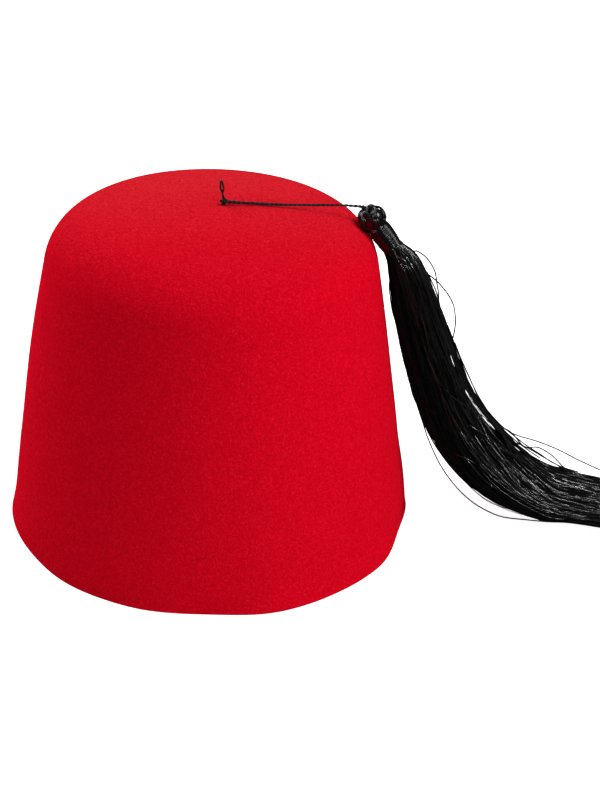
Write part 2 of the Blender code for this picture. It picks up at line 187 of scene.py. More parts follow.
# How far out the threads lie, as a share of the section, at rows of the table above with
# the roots before it.
REACH_ROWS = (3.0, 8.0, 10.0, 13.0, 15.0)
REACH = (1.01, 1.0, 0.95, 0.95, 0.97)
# Below the neck the threads spread at once, so the depth is more than the section's.
FLARE_ROWS = (2.0, 2.6, 3.0, 3.5, 4.0, 5.0, 6.0, 7.0)
FLARE_DEPTH = (1.10, 1.45, 1.62, 1.50, 1.34, 1.13, 1.04, 1.00)
# The core inside the threads, as a share of the section.
CORE_ROWS = (6.0, 8.0, 12.5, 14.0)
CORE_SHARE = (0.76, 0.64, 0.64, 0.74)
# How full the skirt is: rates and phases at which its locks' valleys drift, how many
# half turns they take round it, and their depth at its head and what is added below.
LOCK_DRIFT = ((0.50, 5.0, 0.6), (0.25, 11.0, 2.0))
LOCK_TURNS = 6.5
LOCK_DEPTH = (0.02, 0.04)
# Strands and threads sway in waves: size, then the slowest and the fastest rate.
THREADS_IN_STRAND = 6
STRAND_SPREAD = 0.045          # radius of a strand, as a share of the section
STRAND_ANGLE_WAVES = ((0.09, 3.0, 9.0), (0.05, 12.0, 24.0))
STRAND_DEPTH_WAVES = ((0.03, 5.0, 15.0), (0.015, 25.0, 45.0))
THREAD_ANGLE_WAVES = ((0.02, 20.0, 40.0), (0.012, 50.0, 80.0))
THREAD_DEPTH_WAVES = ((0.012, 20.0, 40.0), (0.010, 50.0, 80.0))
SINGLE_ANGLE_WAVES = ((0.05, 8.0, 20.0), (0.02, 30.0, 60.0))
SINGLE_DEPTH_WAVES = ((0.010, 15.0, 35.0), (0.010, 40.0, 80.0))
# One thread in so many is a single on the outside, and the others lie in strands.
SINGLES_IN = 8
THREAD_POINTS = 54
THREAD_JITTER = 0.00006        # how far points wander, from the seventh on
BRIGHT_SINGLES = 0.42          # share of the singles and of the others that catch the light
BRIGHT_OTHERS = 0.22
# Slits that part a strand from the skirt: first and last row, line there, half width.
SLITS = (
    (6.50, 7.55, -0.865, -0.830, 0.045),
    (7.90, 9.20, -0.780, -0.730, 0.040),
    (9.25, 11.50, -0.720, -0.815, 0.052),
    (11.40, 12.35, -0.895, -0.950, 0.044),
)
SLIT_EASE = 0.3                # rows in which a slit opens and closes
# Shear that makes a slit run along the view from the front.
SHEAR_ROWS = (8.0, 9.0, 10.0, 11.0, 12.0)
SHEAR = (-0.03, -0.06, -0.11, -0.22, -0.43)

# Threads that have left the skirt, in millimetres, from the head towards the tip.
LOOSE_THREADS = (
    ((89.0, -3, 134.5), (91.6, -3, 136.0), (94.3, -3, 134.7), (97.2, -3, 132.2),
     (100.8, -3, 126.5), (102.4, -3, 120.0), (103.4, -3, 115.1), (104.0, -3, 109.0),
     (103.5, -4, 100.0)),
    ((94.5, -3, 127.0), (98.2, -3, 124.4), (102.6, -3, 120.8), (107.5, -3, 115.1),
     (110.8, -3, 109.1), (112.1, -3, 103.1), (112.4, -3, 98.1), (111.6, -4, 92.4),
     (110.0, -5, 86.0)),
    ((82.0, -5, 127.0), (80.3, -6, 121.1), (81.1, -6, 114.2), (82.5, -6, 107.2),
     (84.2, -6, 102.2), (87.0, -6, 95.0)),
    ((108.5, -5, 100.0), (111.1, -6, 93.9), (115.9, -6, 83.2), (120.4, -6, 73.9),
     (126.1, -6, 62.3), (132.8, -5, 52.9), (141.3, -2, 43.1), (147.9, 0, 38.7), (158.4, 3, 33.8),
     (169.2, 5, 28.2), (180.0, 7, 21.4), (192.5, 9, 14.3), (204.0, 9, 9.0), (216.0, 7, 5.0)),
    ((136.0, -5, 47.0), (143.1, -4, 43.1), (150.8, -3, 34.4), (158.2, 0, 32.2),
     (166.2, 3, 26.0), (173.3, 5, 18.1), (180.6, 6, 14.3), (192.4, 7, 10.9), (205.0, 6, 7.0),
     (215.0, 5, 4.0)),
    ((144.5, -2, 36.5), (151.4, -1, 33.3), (161.7, 0, 26.6), (168.9, 0, 22.2),
     (173.1, 0, 19.5), (181.0, -1, 14.5)),
    ((91.0, -7, 77.0), (93.7, -7, 67.9), (100.1, -7, 49.8), (103.6, -7, 40.1),
     (109.9, -6, 26.5), (117.7, -4, 14.1), (126.5, -3, 4.2), (134.0, -6.4, 0.6), (141.9, -12.6, 0.4),
     (153.1, -15.1, 0.4), (163.5, -16.8, 0.4), (173.9, -17.6, 0.4), (190.0, -22.0, 0.4),
     (207.0, -27.0, 0.4)),
    ((99.0, -6, 54.0), (101.3, -6, 47.7), (105.5, -5, 39.0), (109.7, -4, 31.9),
     (116.3, -3, 22.5), (124.8, -2, 13.0), (135.4, -1, 4.5), (143.5, -2.5, 0.9), (150.5, -7.1, 0.5),
     (161.0, -12.0, 0.4), (174.0, -15.0, 0.4)),
    ((90.2, -7, 82.0), (91.4, -7, 76.2), (94.4, -7, 64.7), (97.7, -7, 57.3),
     (101.0, -7, 49.8), (105.5, -6, 41.0)),
    ((113.0, -3.0, 89.7), (116.5, -3.0, 81.4), (120.4, -3.5, 73.2), (125.3, -4.0, 63.7),
     (129.2, -4.0, 57.5), (132.9, -4.5, 51.9), (140.3, -5.0, 44.0), (146.1, -5.0, 38.6),
     (152.4, -5.0, 33.6), (158.6, -5.0, 29.2)),
    ((141.7, -5.0, 44.0), (147.2, -4.0, 39.1), (152.3, -3.0, 34.7), (159.3, -1.0, 29.1),
     (164.8, 0.0, 24.6), (171.3, 1.0, 20.7), (179.7, 2.0, 17.3)),
    ((90.7, -3.0, 80.6), (92.9, -3.5, 71.9), (96.6, -4.0, 60.5), (101.6, -4.5, 49.4),
     (104.8, -5.0, 42.9), (110.3, -5.0, 33.3), (114.7, -5.0, 27.2)),
    ((114.4, -7.0, 27.8), (117.4, -8.0, 24.0), (121.0, -9.0, 20.4), (125.3, -10.0, 16.5),
     (130.0, -11.0, 13.2), (137.4, -13.0, 8.8), (144.6, -15.0, 6.7), (151.4, -16.0, 5.4)),
    ((97.5, -3.0, 125.6), (99.8, -3.0, 121.2), (102.0, -3.0, 116.7), (103.7, -3.0, 111.7),
     (105.3, -3.0, 106.1)),
)

# Threads that cross the others on the skirt's face: rows of its table, angles round it.
CROSSING_THREADS = (
    ((8.76, -1.57), (9.11, -1.75), (9.41, -1.92), (9.66, -2.11), (9.96, -2.32), (10.26, -2.50)),
    ((10.49, -1.95), (10.84, -1.92), (11.16, -1.89), (11.49, -1.80), (11.79, -1.70), (12.09, -1.65),
     (12.39, -1.65)),
    ((10.79, -0.99), (10.86, -1.11), (10.94, -1.22), (11.06, -1.33), (11.21, -1.41)),
    ((10.91, -1.21), (11.09, -1.26), (11.29, -1.25), (11.49, -1.25), (11.69, -1.27), (11.89, -1.37)),
    ((10.19, -1.61), (10.54, -1.60), (10.84, -1.61), (11.16, -1.57), (11.41, -1.54), (11.64, -1.43)),
    ((7.81, -1.47), (8.33, -1.54), (8.88, -1.63), (9.41, -1.68), (9.79, -1.69), (10.14, -1.63)),
    ((11.21, -2.32), (11.46, -2.44), (11.84, -2.61), (12.34, -2.84), (12.94, -3.05)),
    ((11.29, -1.68), (11.49, -1.75), (11.76, -1.79), (12.09, -1.72), (12.44, -1.74), (12.79, -1.82)),
    ((10.29, -1.96), (10.59, -2.14), (10.99, -2.31), (11.36, -2.46), (11.82, -2.66), (12.47, -2.95)),
)
LOOSE_THREAD_RADIUS = 0.00033

# Lights: azimuth from +X and elevation in degrees, width and height in metres.
LIGHTS = {
    "key": (-6.0, 52.0, 1.0, 0.6),
    "gloss": (-58.0, 50.0, 0.2, 0.2),
    "low_gloss": (-63.5, 17.5, 0.24, 0.42),
    "front": (-58.0, 2.0, 0.8, 1.2),
    "back": (150.0, 43.0, 0.7, 1.1),
    "edge": (144.0, 4.0, 0.9, 1.0),
}
LIGHT_DISTANCE = 1.8
LIT_PLACE = (0.03, 0.0, 0.08)  # the place that the lights face
FLOOR_GLOW = 0.90
BOUNCE_GREY = (0.65, 0.65, 0.65, 1.0)
FLOOR_FLAT = 3.0               # radius of the flat floor, the round beyond it, the wall's height
FLOOR_BEND = 1.2
WALL_HEIGHT = 6.0

CAMERA_PLACE = (0.0, -0.71048, 0.44568)
CAMERA_TURN = (-3.389, 61.37, 2.138)   # heading, tilt and roll in degrees
CAMERA_LENS = 77.11


# ------------------------------------------------------------------ settings

class FezFeltSettings(bpy.types.PropertyGroup):
    """What can be changed on the felt crown"""
    colour: FloatVectorProperty(
        name="Felt colour", description="Colour of the dyed wool felt", subtype="COLOR",
        size=4, min=0.0, max=1.0, default=(0.72, 0.0012, 0.0118, 1.0))
    thickness: FloatProperty(
        name="Felt thickness", description="Thickness of the crown's wall",
        unit="LENGTH", default=0.0025)
    grain: FloatProperty(
        name="Grain size", description="Size of the felt's matted tufts",
        unit="LENGTH", default=0.0008)
    unevenness: FloatProperty(
        name="Unevenness", description="How far the blocked surface wanders from its form",
        unit="LENGTH", default=0.00012)


class FezThreadSettings(bpy.types.PropertyGroup):
    """What can be changed on the tassel's threads"""
    colour: FloatVectorProperty(
        name="Thread colour", description="Colour of the silk threads", subtype="COLOR",
        size=4, min=0.0, max=1.0, default=(0.0022, 0.0022, 0.0024, 1.0))
    roughness: FloatProperty(
        name="Thread roughness", description="Roughness of the silk's shine",
        min=0.0, max=1.0, default=0.2)
    shine: FloatProperty(
        name="Thread shine", description="Strength of the shine on the bright threads",
        min=0.0, max=1.0, default=1.0)
    thickness: FloatProperty(
        name="Skirt thread", description="Thickness of one thread of the skirt",
        unit="LENGTH", default=0.00042)
    count: IntProperty(
        name="Skirt threads", description="Threads in the skirt", min=100, default=1720)
    winding: FloatProperty(
        name="Winding thread", description="Thickness of the thread round the neck",
        unit="LENGTH", default=0.00055)
    knot_thread: FloatProperty(
        name="Knot thread", description="Thickness of the threads that weave the ball",
        unit="LENGTH", default=0.00052)


class FezCordSettings(bpy.types.PropertyGroup):
    """What can be changed on the cord and the loop"""
    diameter: FloatProperty(
        name="Cord diameter", description="Diameter of the twisted cord",
        unit="LENGTH", default=CORD_DIAMETER)
    pitch: FloatProperty(
        name="Twist length", description="Length in which a strand turns once",
        unit="LENGTH", default=0.0042)
    loop_thread: FloatProperty(
        name="Loop thread", description="Thickness of the loop's thread",
        unit="LENGTH", default=0.0009)


class FezStageSettings(bpy.types.PropertyGroup):
    """What can be changed on the floor and the lights"""
    floor_colour: FloatVectorProperty(
        name="Floor colour", description="Colour of the floor and backdrop", subtype="COLOR",
        size=4, min=0.0, max=1.0, default=(0.90, 0.90, 0.90, 1.0))
    key_power: FloatProperty(
        name="Key light", description="Power of the large light at the right",
        unit="POWER", default=17.4)
    gloss_power: FloatProperty(
        name="Gloss light", description="Power of the small light that draws the neck's shine",
        unit="POWER", default=5.0)
    low_gloss_power: FloatProperty(
        name="Low gloss light", description="Power of the small light that draws the skirt's shine",
        unit="POWER", default=8.0)
    front_power: FloatProperty(
        name="Front light", description="Power of the low light at the front",
        unit="POWER", default=0.2)
    back_power: FloatProperty(
        name="Back light", description="Power of the light behind and to the left",
        unit="POWER", default=15.2)
    edge_power: FloatProperty(
        name="Edge light", description="Power of the low light that grazes the left edge",
        unit="POWER", default=16.9)
    surround: FloatProperty(
        name="Surround", description="Brightness of the light from all round",
        min=0.0, default=0.03)


# ------------------------------------------------------------------ mesh helpers

def new_mesh_object(name, points, quads, ends, finish, shades=None, uvs=None):
    """A smooth mesh object at the origin from whole arrays.

    `quads` is (n, 4) and `ends` a list of (n, k) arrays of polygon corners, all counting
    into `points`. `shades` is a number for each point, `uvs` a pair for each corner.
    """
    faces = [quads] + list(ends)
    corners = np.concatenate([f.ravel() for f in faces]).astype(np.int32)
    sizes = np.concatenate([np.full(len(f), f.shape[1]) for f in faces])
    starts = np.concatenate(([0], np.cumsum(sizes)[:-1])).astype(np.int32)
    mesh = bpy.data.meshes.new(name)
    mesh.vertices.add(len(points))
    mesh.vertices.foreach_set("co", np.asarray(points, np.float32).ravel())
    mesh.loops.add(len(corners))
    mesh.loops.foreach_set("vertex_index", corners)
    mesh.polygons.add(len(starts))
    mesh.polygons.foreach_set("loop_start", starts)
    mesh.polygons.foreach_set("use_smooth", np.ones(len(starts), bool))
    if shades is not None:
        shade = mesh.attributes.new("thread_shade", "FLOAT", "POINT")
        shade.data.foreach_set("value", np.asarray(shades, np.float32).ravel())
    if uvs is not None:
        layer = mesh.uv_layers.new(name="along_round")
        layer.data.foreach_set("uv", np.asarray(uvs, np.float32).ravel())
    mesh.update(calc_edges=True)
    mesh.validate()
    mesh.materials.append(finish)
    piece = bpy.data.objects.new(name, mesh)
    bpy.context.scene.collection.objects.link(piece)
    return piece


def new_piece(name, points, quads, ends, finish, shades=None, uvs=None):
    """A mesh object that rides on the hat's body and takes its finish from a slot."""
    piece = new_mesh_object(name, points, quads, ends, finish, shades, uvs)
    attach(piece, BODY)
    return piece


def unit(vectors):
    """Vectors divided by their own lengths."""
    return vectors / np.maximum(np.linalg.norm(vectors, axis=-1, keepdims=True), 1e-12)


def walked(points):
    """Length walked along routes, (..., points, 3), from their first to each of their points."""
    steps = np.linalg.norm(np.diff(points, axis=-2), axis=-1)
    return np.concatenate([np.zeros_like(steps[..., :1]), np.cumsum(steps, axis=-1)], axis=-1)


def smooth_route(points, count):
    """`count` points on a Catmull-Rom curve through `points`, spaced evenly by length.

    Between two points the curve is the cubic that has their positions and, at each of
    them, half the step from the point before it to the point after it as its slope.
    """
    rows = np.asarray(points, float)
    fine = rows_at(rows, np.linspace(0, len(rows) - 1, 24 * len(rows)))
    length = walked(fine)
    wanted = np.linspace(0, length[-1], count)
    return np.stack([np.interp(wanted, length, column) for column in fine.T], axis=1)


def rows_at(rows, positions):
    """The rows of a table at fractional row numbers, on a Catmull-Rom curve through them."""
    positions = np.clip(positions, 0, len(rows) - 1)
    first = np.minimum(positions.astype(int), len(rows) - 2)
    t = (positions - first)[..., None]
    a = rows[np.maximum(first - 1, 0)]
    b, c = rows[first], rows[first + 1]
    d = rows[np.minimum(first + 2, len(rows) - 1)]
    return 0.5 * (2 * b + (c - a) * t + (2 * a - 5 * b + 4 * c - d) * t ** 2
                  + (3 * b - a - 3 * c + d) * t ** 3)


def window(values, first, last, ease):
    """1 between two values and 0 outside them, with straight ramps inside both."""
    return np.clip((values - first) / ease, 0, 1) * np.clip((last - values) / ease, 0, 1)


def square_to(along, toward):
    """`toward` less its part along unit directions, brought to unit length."""
    toward = np.broadcast_to(toward, along.shape)
    return unit(toward - np.sum(toward * along, -1, keepdims=True) * along)


def across(routes, toward):
    """Two directions square to routes, the first as near to `toward` as it can be.

    The tangent at a point is the difference of its neighbours, `toward` less its part
    along the tangent gives the first direction, and their cross product the second.
    """
    tangent = unit(np.gradient(routes, axis=-2))
    first = square_to(tangent, toward)
    return first, np.cross(tangent, first)


def quads_between(index):
    """Quads between neighbouring rings of an index grid, (..., rings, corners round)."""
    turned = np.roll(index, -1, axis=-1)
    corners = (index[..., :-1, :], index[..., 1:, :], turned[..., 1:, :], turned[..., :-1, :])
    return np.stack(corners, -1).reshape(-1, 4)


def tube_grid(paths, radii, sides, toward):
    """Round tubes round many paths at once.

    `paths` is (tubes, points, 3). The surface is the path plus the radius times the
    cosine of the angle round it in the first and the sine in the second direction
    across it. Returns points, quads and the two end polygons of every tube.
    """
    tubes, count, _ = paths.shape
    first, second = across(paths, toward)
    angle = 2 * np.pi * np.arange(sides) / sides
    radii = np.broadcast_to(radii, (tubes, count))[..., None, None]
    ring = np.cos(angle)[:, None] * first[:, :, None] + np.sin(angle)[:, None] * second[:, :, None]
    points = (paths[:, :, None] + radii * ring).reshape(-1, 3)
    index = np.arange(tubes * count * sides).reshape(tubes, count, sides)
    ends = np.concatenate([index[:, 0, ::-1], index[:, -1]])
    return points, quads_between(index)[:, [0, 3, 2, 1]], ends


def tube_uvs(paths, sides):
    """For each corner of a tube's quads and ends: metres along it, share of a turn round it."""
    along = walked(paths)
    shape = (len(paths), paths.shape[1] - 1, sides)
    near = np.broadcast_to(along[:, :-1, None], shape)
    far = np.broadcast_to(along[:, 1:, None], shape)
    left = np.broadcast_to(np.arange(sides) / sides, shape)
    right = left + 1 / sides
    quads = np.stack([near, left, near, right, far, right, far, left], -1).reshape(-1, 2)
    ends = np.concatenate([np.repeat(along[:, 0], sides), np.repeat(along[:, -1], sides)])
    return np.concatenate([quads, np.stack([ends, np.zeros_like(ends)], -1)])


def turned_grid(radii, heights, segments, sway=None):
    """A profile of radii and heights turned about Z, its first and last rows being poles.

    A point is the radius times the cosine and sine of the angle, at the row's height.
    `sway` (rows, segments) is added to the radius. Faces point outwards where the
    profile runs down from the upper pole.
    """
    angle = 2 * np.pi * np.arange(segments) / segments
    radius = np.repeat(radii[1:-1, None], segments, axis=1)
    if sway is not None:
        radius = radius + sway[1:-1]
    body = np.stack([radius * np.cos(angle), radius * np.sin(angle),
                     np.repeat(heights[1:-1, None], segments, axis=1)], -1).reshape(-1, 3)
    points = np.concatenate([body, [(0, 0, heights[0]), (0, 0, heights[-1])]])
    index = np.arange(len(body)).reshape(-1, segments)
    turned = np.roll(index, -1, axis=1)
    first = np.full(segments, len(body))
    poles = np.concatenate([np.stack([first, index[0], turned[0]], -1),
                            np.stack([index[-1], first + 1, turned[-1]], -1)])
    return points, quads_between(index), poles


def head_frame():
    """The tassel head's axis, from ball to neck, and two directions square to it."""
    axis = unit(NECK_END - BALL_CENTRE)
    side = unit(np.cross(axis, (0.0, 1.0, 0.0)))
    return axis, side, np.cross(axis, side)


def along_head(local):
    """Points given in the head's own frame, (side, back, distance from the ball's middle)."""
    axis, side, back = head_frame()
    return BALL_CENTRE + local[..., :1] * side + local[..., 1:2] * back + local[..., 2:] * axis


# ------------------------------------------------------------------ finishes

def new_finish(name, colour, roughness, specular):
    """A Principled material with its constants on its own sockets."""
    made = bpy.data.materials.new(name)
    made.use_nodes = True
    shader = made.node_tree.nodes["Principled BSDF"]
    shader.inputs["Base Color"].default_value = colour
    shader.inputs["Roughness"].default_value = roughness
    shader.inputs["Specular IOR Level"].default_value = specular
    return made, made.node_tree, shader


def add_node(tree, kind, **values):
    """A node with its sockets set by name."""
    node = tree.nodes.new(kind)
    for socket, value in values.items():
        node.inputs[socket.replace("_", " ")].default_value = value
    return node


def noise(tree, place, scale, detail, roughness):
    """A noise's number, read at a place."""
    node = add_node(tree, "ShaderNodeTexNoise", Scale=scale, Detail=detail, Roughness=roughness)
    tree.links.new(place, node.inputs["Vector"])
    return node.outputs["Fac"]


def ranged(tree, value, low, high, to_low, to_high):
    """A number carried from one range to another and held inside it."""
    node = tree.nodes.new("ShaderNodeMapRange")
    for socket, number in (("From Min", low), ("From Max", high), ("To Min", to_low), ("To Max", to_high)):
        node.inputs[socket].default_value = number
    tree.links.new(value, node.inputs["Value"])
    return node.outputs["Result"]


def product(tree, first, second):
    """Two numbers multiplied."""
    node = tree.nodes.new("ShaderNodeMath")
    node.operation = "MULTIPLY"
    tree.links.new(first, node.inputs[0])
    tree.links.new(second, node.inputs[1])
    return node.outputs["Value"]


def mixed(tree, share, low, high):
    """A colour carried from one to another by a number. Each is a value or a socket."""
    node = tree.nodes.new("ShaderNodeMix")
    node.data_type = "RGBA"
    tree.links.new(share, node.inputs["Factor"])
    for socket, colour in (("A", low), ("B", high)):
        if isinstance(colour, bpy.types.NodeSocket):
            tree.links.new(colour, node.inputs[socket])
        else:
            node.inputs[socket].default_value = colour
    return node.outputs["Result"]


def dyed(colour, red, green, blue):
    """A colour with each of its parts multiplied."""
    return (red * colour[0], green * colour[1], blue * colour[2], 1.0)


def felt_finish(settings):
    """Matted wool: tufts of two sizes in colour and relief, and a painted sheen on the top.

    The product of tufts, clumps and clouds carries the felt from its deep to its clear
    colour, and is its relief. Flecks are the tips of the tufts. On the top the relief is
    rougher, and a painted sheen makes the felt paler towards the back, where light grazes it.
    """
    colour = settings.colour
    made, tree, shader = new_finish("wool_felt", colour, 1.0, 0.0)
    shader.inputs["Sheen Weight"].default_value = 0.010
    shader.inputs["Sheen Roughness"].default_value = 0.30
    shader.inputs["Sheen Tint"].default_value = (1.0, 0.80, 0.84, 1.0)
    place = tree.nodes.new("ShaderNodeTexCoord").outputs["Object"]
    tufts = noise(tree, place, 1.0 / settings.grain, 2.0, 0.6)
    clumps = noise(tree, place, 0.42 / settings.grain, 2.0, 0.5)
    clouds = noise(tree, place, 60.0, 2.0, 0.5)
    shade = product(tree, ranged(tree, tufts, 0.32, 0.68, 0.54, 1.0),
                    ranged(tree, clumps, 0.32, 0.68, 0.72, 1.0))
    shade = product(tree, shade, ranged(tree, clouds, 0.3, 0.7, 0.94, 1.0))
    split = tree.nodes.new("ShaderNodeSeparateXYZ")
    tree.links.new(place, split.inputs["Vector"])
    height = split.outputs["Z"]
    # painted sheen: the top is made paler, more so towards the back, for the shine of grazing light on the
    # felt
    painted_top_sheen = product(tree, ranged(tree, height, 0.138, 0.154, 0.0, 1.0),
                  ranged(tree, shade, 0.35, 0.9, 0.0, 0.8))
    painted_top_sheen = product(tree, painted_top_sheen, ranged(tree, split.outputs["Y"], -0.045, 0.065, 0.12, 1.15))
    wool = mixed(tree, shade, dyed(colour, 0.70, 0.05, 0.35), dyed(colour, 1.20, 2.10, 1.70))
    flecks = ranged(tree, tufts, 0.54, 0.70, 0.0, 0.26)
    wool = mixed(tree, flecks, wool, dyed(colour, 1.20, 24.0, 4.0))
    # the painted sheen mixed in: a pale pink laid over the top
    wool = mixed(tree, painted_top_sheen, wool, dyed(colour, 1.12, 34.0, 4.4))
    tree.links.new(wool, shader.inputs["Base Color"])
    bump = add_node(tree, "ShaderNodeBump", Strength=0.9)
    tree.links.new(ranged(tree, height, 0.138, 0.150, 0.0003, 0.0008), bump.inputs["Distance"])
    tree.links.new(shade, bump.inputs["Height"])
    tree.links.new(bump.outputs["Normal"], shader.inputs["Normal"])
    return made


def silk_finish(settings, name="silk", shine=0.06, roughness=0.5, low=0.2, high=7.0, twist=0.0, ior=1.5):
    """Black silk: each thread lighter or darker, with fine filaments if `twist`.

    Every point's shade carries the colour from `low` to `high` times the thread colour,
    and makes the shine a little sharper. The light end is partly the threads' own tone and
    partly painted sheen: grey threads that stand in for the shine of silk.
    """
    made, tree, shader = new_finish(name, settings.colour, roughness, shine)
    shader.inputs["IOR"].default_value = ior
    attribute = tree.nodes.new("ShaderNodeAttribute")
    attribute.attribute_name = "thread_shade"
    shade = attribute.outputs["Fac"]
    # painted sheen in part: the light end of the range gives grey threads that stand in for the silk's shine
    silk = mixed(tree, shade, dyed(settings.colour, low, low, low), dyed(settings.colour, high, high, high))
    tree.links.new(silk, shader.inputs["Base Color"])
    matt = ranged(tree, shade, 0.0, 1.0, 1.25 * roughness, 0.8 * roughness)
    tree.links.new(matt, shader.inputs["Roughness"])
    if twist:
        place = tree.nodes.new("ShaderNodeTexCoord")
        turn = add_node(tree, "ShaderNodeMapping", Scale=(twist, 1.0, 1.0))
        rows = add_node(tree, "ShaderNodeTexWave", Scale=2.4, Distortion=0.6, Detail=1.0)
        rows.wave_type = "BANDS"
        rows.bands_direction = "DIAGONAL"
        bump = add_node(tree, "ShaderNodeBump", Strength=0.6, Distance=0.00008)
        for source, target in (
                (place.outputs["UV"], turn.inputs["Vector"]),
                (turn.outputs["Vector"], rows.inputs["Vector"]),
                (rows.outputs["Fac"], bump.inputs["Height"]),
                (bump.outputs["Normal"], shader.inputs["Normal"])):
            tree.links.new(source, target)
    return made


def finish_named(title, maker, *values, **more):
    """The finish with that title, made the first time that it is asked for."""
    return bpy.data.materials.get(title) or maker(*values, **more)


def silk_of(scene):
    """The dull silk of most threads."""
    return finish_named("silk", silk_finish, scene.fez_threads)


def bright_silk_of(scene):
    """The silk of the threads that catch the light."""
    threads = scene.fez_threads
    return finish_named("bright_silk", silk_finish, threads, name="bright_silk", shine=threads.shine,
                        roughness=threads.roughness, low=0.8, high=4.0, ior=1.9)


def head_silk_of(scene):
    """The silk of the ball and the neck."""
    threads = scene.fez_threads
    return finish_named("head_silk", silk_finish, threads, name="head_silk", shine=0.95 * threads.shine,
                        roughness=threads.roughness, low=0.8, high=3.0)


def twisted_silk_of(scene):
    """The silk of the cord and the loop, with fine filaments."""
    return finish_named("twisted_silk", silk_finish, scene.fez_threads, name="twisted_silk",
                        shine=0.4, roughness=0.4, high=4.0, twist=450.0)


# ------------------------------------------------------------------ crown

def eased(positions, knots, values):
    """Values between knots, with a cosine's soft start and end in each stretch."""
    positions = np.clip(positions, knots[0], knots[-1])
    first = np.clip(np.searchsorted(knots, positions, side="right") - 1, 0, len(knots) - 2)
    share = (positions - knots[first]) / (knots[first + 1] - knots[first])
    share = (1 - np.cos(np.pi * share)) / 2
    share = share.reshape(share.shape + (1,) * (values.ndim - 1))
    return values[first] + (values[first + 1] - values[first]) * share


def out_of_round(heights, segments):
    """How far the blocked body stands out of the turned form, rows by segments.

    The three columns of the wave table at their own heights, eased round and then up.
    """
    table = np.array(WAVE)
    knots = np.concatenate(([table[-1, 0] - 360], table[:, 0], [table[0, 0] + 360]))
    values = np.concatenate((table[-1:, 1:], table[:, 1:], table[:1, 1:]))
    azimuth = np.degrees(2 * np.pi * np.arange(segments) / segments)
    azimuth = np.where(azimuth > knots[-1], azimuth - 360, azimuth)
    edge, band, middle = eased(azimuth, knots, values).T
    none = np.zeros(segments)
    up = np.array((edge, band, none, middle, none))
    return eased(heights, np.array(WAVE_HEIGHTS), up)


def felt_profile(dome_rows, shoulder_rows, side_rows, inward=0.0):
    """Radii and heights of the felt's face from the middle of the top down to the rim.

    A sphere's cap, a round that touches both it and the side's line, and the side: a
    line with a swell of a parabola's shape and a flare that grows as the square of the
    height left. `inward` moves the cap and the round along their normals and the side
    by the same amount.
    """
    below = CROWN_HEIGHT - DOME_SPHERE
    along = unit(np.array((SHOULDER_LINE_RADIUS - SIDE_FOOT_RADIUS, CROWN_HEIGHT - DOME_RISE)))
    outward = np.array((along[1], -along[0]))
    start = np.array((SIDE_FOOT_RADIUS, 0.0)) - SHOULDER_ROUND * outward
    from_dome = start - np.array((0.0, below))
    half = from_dome @ along
    reach = np.sqrt(half ** 2 - from_dome @ from_dome + (DOME_SPHERE - SHOULDER_ROUND) ** 2) - half
    centre = start + reach * along
    low = np.arctan2(outward[1], outward[0])
    high = np.arctan2(centre[1] - below, centre[0])
    tilt = np.linspace(np.pi / 2, high, dome_rows, endpoint=False)
    dome = (DOME_SPHERE - inward) * np.stack([np.cos(tilt), np.sin(tilt)], 1) + (0.0, below)
    angle = np.linspace(high, low, shoulder_rows, endpoint=False)
    shoulder = centre + (SHOULDER_ROUND - inward) * np.stack([np.cos(angle), np.sin(angle)], 1)
    top = centre + SHOULDER_ROUND * outward
    down = np.linspace(0, 1, side_rows)
    height = top[1] * (1 - down)
    flare = (RIM_RADIUS - SIDE_FOOT_RADIUS) * np.maximum(0, 1 - height / FLARE_HEIGHT) ** 2
    radius = top[0] + (SIDE_FOOT_RADIUS - top[0]) * down + SIDE_BULGE * 4 * down * (1 - down) + flare
    side = np.stack([radius, height], 1) - inward * outward
    rows = np.concatenate([dome, shoulder, side])
    rows[0, 0] = 0.0
    return rows


def surface_height(x, y):
    """Height of the felt's outer face on the domed top."""
    return CROWN_HEIGHT - DOME_SPHERE + np.sqrt(DOME_SPHERE ** 2 - x ** 2 - y ** 2)


def soft_dents(rows, segments, depth, seed):
    """Shallow wandering of a hand-blocked surface.

    A sum of cosines with whole turns round the crown and slow waves down it, fading out
    towards the middle of the top.
    """
    chance = np.random.default_rng(seed)
    angle = 2 * np.pi * np.arange(segments) / segments
    down = np.linspace(0, 1, rows)[:, None]
    total = np.zeros((rows, segments))
    for turns in range(2, 15):
        phase, slide = chance.uniform(0, 2 * np.pi, 2)
        waves = chance.uniform(1.0, 5.0)
        total += np.cos(turns * angle + phase + waves * 2 * np.pi * down + slide) / np.sqrt(turns)
    return depth * total * np.minimum(1, 2.5 * down) / 2


def cut_edge(thickness):
    """The rim's edge from the outer to the inner face: half an oval with a flat foot.

    Its offsets are the square roots of an ellipse's, which square its corners.
    """
    turn = np.linspace(0, np.pi, 11)
    corner = np.sign(np.cos(turn)) * np.sqrt(np.abs(np.cos(turn)))
    sink = np.sqrt(np.abs(np.sin(turn)))
    half = thickness / 2
    return np.stack([RIM_RADIUS - half + half * corner, EDGE_ROUND * (1 - sink)], 1)


